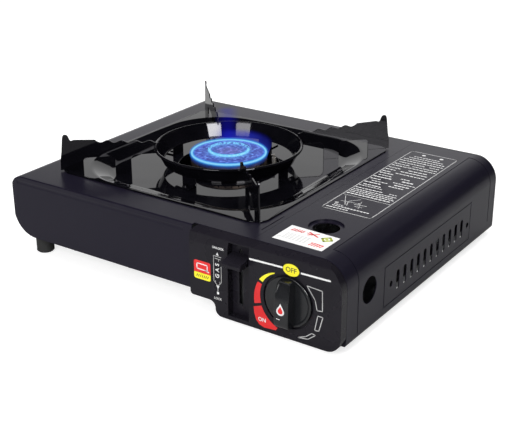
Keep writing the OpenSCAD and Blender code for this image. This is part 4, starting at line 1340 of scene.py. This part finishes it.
def print_on_grip(outline, name, ink, place=on_grip, depth=INK):
    return printed([outline], place, toward_front, name, "knob_unit", ink, depth)


print_on_grip(drop, "fire_drop_white", white_ink_and_painted_highlight)
print_on_grip(small_drop, "fire_drop_red", red_ink, over_grip, INK / 2)
# Painted highlight on the grip's lower edge.
print_on_grip(edge_highlight_line, "grip_edge_painted_highlight", white_ink_and_painted_highlight)

# %% [markdown]
# ## The lid's print
# The lid has a printed frame on its top, with rows of short bars where a real one has text, and
# a paper sticker near its front corner. Rows and bars carry no words here.

# %% Frame and rows on the lid
lid_low, lid_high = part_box("lid_shell")
lid_top = lid_high.z


def on_lid(a, b):
    return Vector((a, b, lid_top + LIFT))


def over_lid(a, b):
    return Vector((a, b, lid_top + 2 * LIFT + INK))


def print_on_lid(outlines, name, ink, place=on_lid):
    return printed(outlines, place, upward, name, "lid", ink)


frame_left, frame_right = 97.2, 143.2
frame_front, frame_back = -42.8, 120.6
frame_divide = -8.3
frame_corner = 2.4
frame_line, divide_line = 0.75, 0.6
left_centre, right_centre = frame_left + frame_corner, frame_right - frame_corner
front_centre, back_centre = frame_front + frame_corner, frame_back - frame_corner
corner_centres = (
    (right_centre, back_centre),
    (left_centre, back_centre),
    (left_centre, front_centre),
    (right_centre, front_centre),
)
round_frame = []
for quarter, (cx, cy) in enumerate(corner_centres):
    for k in range(5):
        turn = math.radians(90 * quarter + 22.5 * k)
        round_frame.append((cx + frame_corner * math.cos(turn), cy + frame_corner * math.sin(turn)))
lid_frame = closed_line(round_frame, frame_line)
lid_frame.append(stroke((frame_left, frame_divide), (frame_right, frame_divide), divide_line))
print_on_lid(lid_frame, "lid_frame", grey_ink)

# %% [markdown]
# Each row is (distance along the frame, its start and end across, bar length, bar thickness). The
# bars of a row differ in length by a simple count, so that a row looks like words. The smaller field
# in front holds a loose figure of strokes.

# %% Rows of small bars
row_list = [
    (-38.5, 100, 121, 1.4, 1.3), (-34.5, 103, 139, 1.2, 1.3), (-31.5, 103, 112, 1.0, 1.0),
    (-3.5, 99, 141, 2.6, 1.6), (0.5, 99, 141, 1.3, 1.2), (4.0, 99, 140, 1.1, 1.2),
    (7.5, 99, 141, 1.4, 1.2), (12.0, 99, 124, 1.5, 1.3), (12.0, 131, 140, 1.2, 1.0),
    (18.0, 99, 120, 1.2, 1.1), (22.0, 101, 117, 1.8, 1.5), (28.0, 99, 113, 2.4, 1.6),
    (28.0, 122, 136, 1.6, 1.4), (33.0, 103, 119, 1.3, 1.2), (33.0, 125, 139, 1.6, 1.6),
    (38.0, 99, 109, 1.6, 1.5), (38.0, 121, 141, 1.2, 1.2), (44.0, 99, 116, 1.6, 1.8),
    (44.0, 127, 138, 1.8, 1.8), (49.5, 101, 113, 1.4, 1.4), (49.5, 123, 132, 1.4, 1.4),
    (55.0, 99, 111, 1.5, 1.6), (60.0, 99, 106, 2.2, 1.4), (60.0, 112, 140, 1.8, 1.2),
    (66.0, 99, 108, 2.2, 1.2), (66.0, 114, 140, 2.0, 1.4), (71.5, 99, 110, 1.6, 1.2),
    (71.5, 119, 138, 2.4, 1.3), (78.0, 99, 141, 2.4, 1.2), (83.0, 99, 113, 2.0, 1.2),
    (83.0, 117, 141, 1.5, 1.2), (88.5, 101, 127, 1.4, 1.3), (88.5, 131, 141, 1.7, 1.1),
    (94.0, 99, 141, 1.5, 1.3), (99.0, 100, 140, 1.2, 1.3), (104.0, 103, 138, 1.1, 1.2),
    (108.5, 106, 131, 1.3, 1.1),
]
shortest, variety = 0.7, 0.6  # shares of a row's bar length
gap, gap_share = 0.9, 0.6  # a gap, and the share of the thickness that is added to it
row_bars = []
for along, start, end, length, thick in row_list:
    across = start
    while across < end - 1:
        bar = length * (shortest + variety * ((round(across * 7 + along) % 5) / 4))
        row_bars.append(stroke((across, along), (min(across + bar, end), along), thick))
        across += bar + gap + thick * gap_share
for spot in ((112.0, 115.0), (130.0, 114.5)):
    row_bars.append(oval(*spot, 2.0, 1.5, 12))
figure = [
    stroke((101.5, -10.5), (106.5, -20.0), 0.5), stroke((106.5, -20.0), (111.0, -28.0), 0.8),
    stroke((117.0, -12.0), (110.0, -20.5), 0.6), stroke((104.0, -22.5), (119.0, -21.0), 0.6),
    stroke((110.0, -20.5), (113.0, -29.0), 0.8), stroke((120.0, -16.0), (124.5, -30.0), 0.5),
    stroke((117.5, -24.0), (128.0, -22.5), 0.8), stroke((119.5, -27.5), (126.0, -27.0), 0.7),
    oval(103.0, -28.0, 1.8, 1.5, 12), oval(120.5, -21.0, 1.3, 1.3, 12),
]
print_on_lid(row_bars, "lid_print", white_ink_and_painted_highlight)
print_on_lid(figure, "lid_figure", grey_ink)
print("lid print has", len(row_bars) + len(figure), "marks")

# %% [markdown]
# The sticker is stuck on a little askew. It carries slanted red marks, a lime square and five rows of
# grey dashes.

# %% Sticker at the lid's front corner
print_on_lid(
    [[(98.0, -117.2), (143.0, -117.8), (143.0, -90.2), (98.0, -88.4)]], "lid_sticker", sticker_paper
)
red_marks = [
    stroke((102.6 + 2.3 * k, -97.0 + 0.6 * (k % 2)), (103.8 + 2.3 * k, -93.2), 1.0) for k in range(5)
]
red_marks += [
    stroke((102.4, -96.8), (113.6, -95.6), 0.8),
    stroke((117.6, -93.2), (127.2, -97.6), 1.5),
    stroke((118.6, -98.0), (125.6, -92.4), 1.1),
    stroke((116.4, -95.0), (121.6, -96.8), 0.8),
]
red_marks += [
    stroke((128.6 + 2.4 * k, -113.2), (129.8 + 2.4 * k, -109.6 + 0.5 * (k % 2)), 1.1)
    for k in range(5)
]
red_marks += [stroke((128.4, -108.6), (139.0, -109.0), 0.7)]
print_on_lid(red_marks, "sticker_red_marks", red_ink, over_lid)
lime_marks = closed_line([(131.4, -97.6), (136.0, -93.4), (139.8, -97.4), (135.0, -101.6)], 2.0)
lime_marks.append(oval(135.4, -97.5, 1.4, 1.2, 12))
print_on_lid(lime_marks, "sticker_lime_square", lime_ink, over_lid)
grey_marks = [
    stroke((103.6 + 3.1 * k, -103.0 - 2.2 * row), (105.4 + 3.1 * k, -103.0 - 2.2 * row), 0.7)
    for row in range(5)
    for k in range(7)
]
grey_marks += [stroke((100.2, -112.6), (101.8, -111.2), 1.0)]
print_on_lid(grey_marks, "sticker_grey_rows", grey_ink, over_lid)

# %% [markdown]
# ### Painted highlights in the vents
# The lower end of each vent in the lid's side catches the light. That glint is painted: a small pale
# oval in the slot, about halfway through the sheet.

# %% One painted highlight per vent
vent_count, vent_step = 11, 12.0
first_vent = lid_low.y / MM + 81.2
vent_foot = 22.6
spot_depth = 0.45 * MM
vent_highlight_spots = [oval(first_vent + vent_step * k, vent_foot, 1.0, 0.8, 12) for k in range(vent_count)]


def in_vent(a, b):
    return Vector((lid_high.x - spot_depth, a, b))


# Each pale oval is a painted highlight at a vent's lower end.
printed(vent_highlight_spots, in_vent, Vector((1, 0, 0)), "vent_painted_highlights", "lid", white_ink_and_painted_highlight)

# %% [markdown]
# ## Camera, floor and light
# The camera stands in front and to the right, a little above the stove, with a long lens. The lens
# and its shift are worked out from pixels of the finished picture, and the camera is rolled by a
# fraction of a degree.

# %% Camera
LENS_PIXELS = 1085.0
WIDE, HIGH = 514, 429
MIDDLE_X, MIDDLE_Y = 260.32, 216.96
SENSOR = 36
ROLL = math.radians(-0.19)
lens_eye = Vector((0.5204, -0.75095, 0.4157))
looks_at = Vector((-0.00005, 0.01053, 0.0238))


def aimed(place, target):
    """The turn that makes a camera or a lamp look from place at target."""
    return (Vector(target) - Vector(place)).to_track_quat("-Z", "Y").to_euler()


bpy.ops.object.camera_add(location=lens_eye)
camera = bpy.context.object
camera.rotation_euler = aimed(lens_eye, looks_at)
camera.rotation_euler.rotate_axis("Z", ROLL)
camera.data.sensor_width = SENSOR
camera.data.lens = LENS_PIXELS / WIDE * SENSOR
camera.data.shift_x = (WIDE / 2 - MIDDLE_X) / WIDE
camera.data.shift_y = (MIDDLE_Y - HIGH / 2) / WIDE
camera.data.clip_start = 0.01
bpy.context.scene.camera = camera
print("lens", round(camera.data.lens, 1), "mm")

# %% [markdown]
# The floor is plain and pale, and dull enough to show no reflection. It glows a little for the
# camera alone, which brings it up to the white of the surround without lighting the stove.

# %% Floor
FLOOR_LIFT = 0.72
clear_selection()
bpy.ops.mesh.primitive_plane_add(size=12, location=(0, 0, 0))
floor = bpy.context.object
floor.name = "floor"
pale = bpy.data.materials.new("pale_floor")
pale.use_nodes = True
ground = pale.node_tree
paper = ground.nodes["Principled BSDF"]
paper.inputs["Base Color"].default_value = (0.5, 0.5, 0.5, 1)
paper.inputs["Roughness"].default_value = 0.8
paper.inputs["Specular IOR Level"].default_value = 0.2
paper.inputs["Emission Color"].default_value = (1, 1, 1, 1)
seen = ground.nodes.new("ShaderNodeLightPath").outputs["Is Camera Ray"]
ground.links.new(
    math_node(ground, "MULTIPLY", seen, FLOOR_LIFT), paper.inputs["Emission Strength"]
)
floor.data.materials.append(pale)

# %% [markdown]
# The surround is white where it is seen, mirrored or seen through something clear, and dimmer where
# it only lights the stove.

# %% World
SURROUND_LIGHT = 0.6
world = bpy.data.worlds.new("studio")
bpy.context.scene.world = world
world.use_nodes = True
sky = world.node_tree
background = sky.nodes["Background"]
background.inputs["Color"].default_value = (1, 1, 1, 1)
ray_kind = sky.nodes.new("ShaderNodeLightPath").outputs
seen_or_mirrored = math_node(
    sky, "MAXIMUM", ray_kind["Is Camera Ray"], ray_kind["Is Glossy Ray"]
)
white_for = math_node(sky, "MAXIMUM", seen_or_mirrored, ray_kind["Is Transmission Ray"])
brightness = sky.nodes.new("ShaderNodeMapRange")
brightness.inputs["To Min"].default_value = SURROUND_LIGHT
brightness.inputs["To Max"].default_value = 1.0
sky.links.new(white_for, brightness.inputs["Value"])
sky.links.new(brightness.outputs["Result"], background.inputs["Strength"])

# %% [markdown]
# Black gloss only looks black if it has something dark to show, so a dark curtain and a ceiling
# hang round the camera as in a studio. Only reflections see them. The curtain is a cylinder whose
# far side is cut away, so that the white surround shows there.

# %% Dark curtain and ceiling for the reflections
CEILING = 1.3
CURTAIN = 2.6
WHITE_UNTIL = math.radians(31)
WINDOW = math.radians(36)
dark_cloth = bpy.data.materials.new("dark_cloth")
dark_cloth.use_nodes = True
cloth_shader = dark_cloth.node_tree.nodes["Principled BSDF"]
cloth_shader.inputs["Base Color"].default_value = (0.02, 0.02, 0.02, 1)
cloth_shader.inputs["Roughness"].default_value = 1.0
cloth_shader.inputs["Specular IOR Level"].default_value = 0.0


def hang(cloth, name):
    """Names a dark cloth and shows it to reflections only."""
    cloth.name = name
    cloth.data.materials.append(dark_cloth)
    cloth.visible_camera = False
    cloth.visible_diffuse = False
    cloth.visible_transmission = False
    cloth.visible_shadow = False


behind = -Vector((lens_eye.x, lens_eye.y, 0)).normalized()
clear_selection()
bpy.ops.mesh.primitive_cylinder_add(
    vertices=48, radius=CURTAIN, depth=CEILING, end_fill_type="NOTHING", location=(0, 0, CEILING / 2)
)
curtain = made()
open_up(curtain)
choose_all()
window_plane = behind * CURTAIN * math.cos(WINDOW)
bpy.ops.mesh.bisect(plane_co=window_plane, plane_no=behind, clear_outer=True)
close_up()
hang(curtain, "dark_curtain")
ceiling_back = CEILING / math.tan(WHITE_UNTIL)
clear_selection()
bpy.ops.mesh.primitive_plane_add(size=1, location=(0, (ceiling_back - CURTAIN) / 2, CEILING))
bpy.context.object.scale = (4 * CURTAIN, CURTAIN + ceiling_back, 1)
hang(made(), "dark_ceiling")

# %% [markdown]
# One wide soft box overhead lights the whole stove, and reflections don't see it. Two smaller ones
# beside the camera put the white glints on the ring. The ring's inside is a hollow mirror, so the
# box at the right makes the glint at the left.

# %% Lamps
SIDE_TURN, SIDE_RISE, SIDE_AWAY = 28, 31, 1.5
SIDE_SIZE, SIDE_AIM = (0.54, 0.6), (0, 0, 0.08)


def soft_box(name, place, aim, size, power):
    bpy.ops.object.light_add(type="AREA", location=place)
    lamp = bpy.context.object
    lamp.name = name
    lamp.data.shape = "RECTANGLE"
    lamp.data.size, lamp.data.size_y = size
    lamp.data.energy = power
    lamp.rotation_euler = aimed(place, aim)
    print(name, power, "W")
    return lamp


def side_box(name, turn, power):
    """A soft box beside the camera, turn degrees round the stove from it."""
    toward = math.atan2(lens_eye.y, lens_eye.x) + math.radians(turn)
    rise = math.radians(SIDE_RISE)
    level = SIDE_AWAY * math.cos(rise)
    place = (level * math.cos(toward), level * math.sin(toward), SIDE_AWAY * math.sin(rise))
    return soft_box(name, place, SIDE_AIM, SIDE_SIZE, power)


overhead = soft_box("overhead_box", (0.0, 0.1, CEILING - 0.05), (0, 0, 0), (1.2, 0.9), 9)
overhead.visible_glossy = False
side_box("left_box", -SIDE_TURN, 13)
side_box("right_box", SIDE_TURN, 34).visible_diffuse = False
bpy.context.scene.view_settings.view_transform = "Standard"
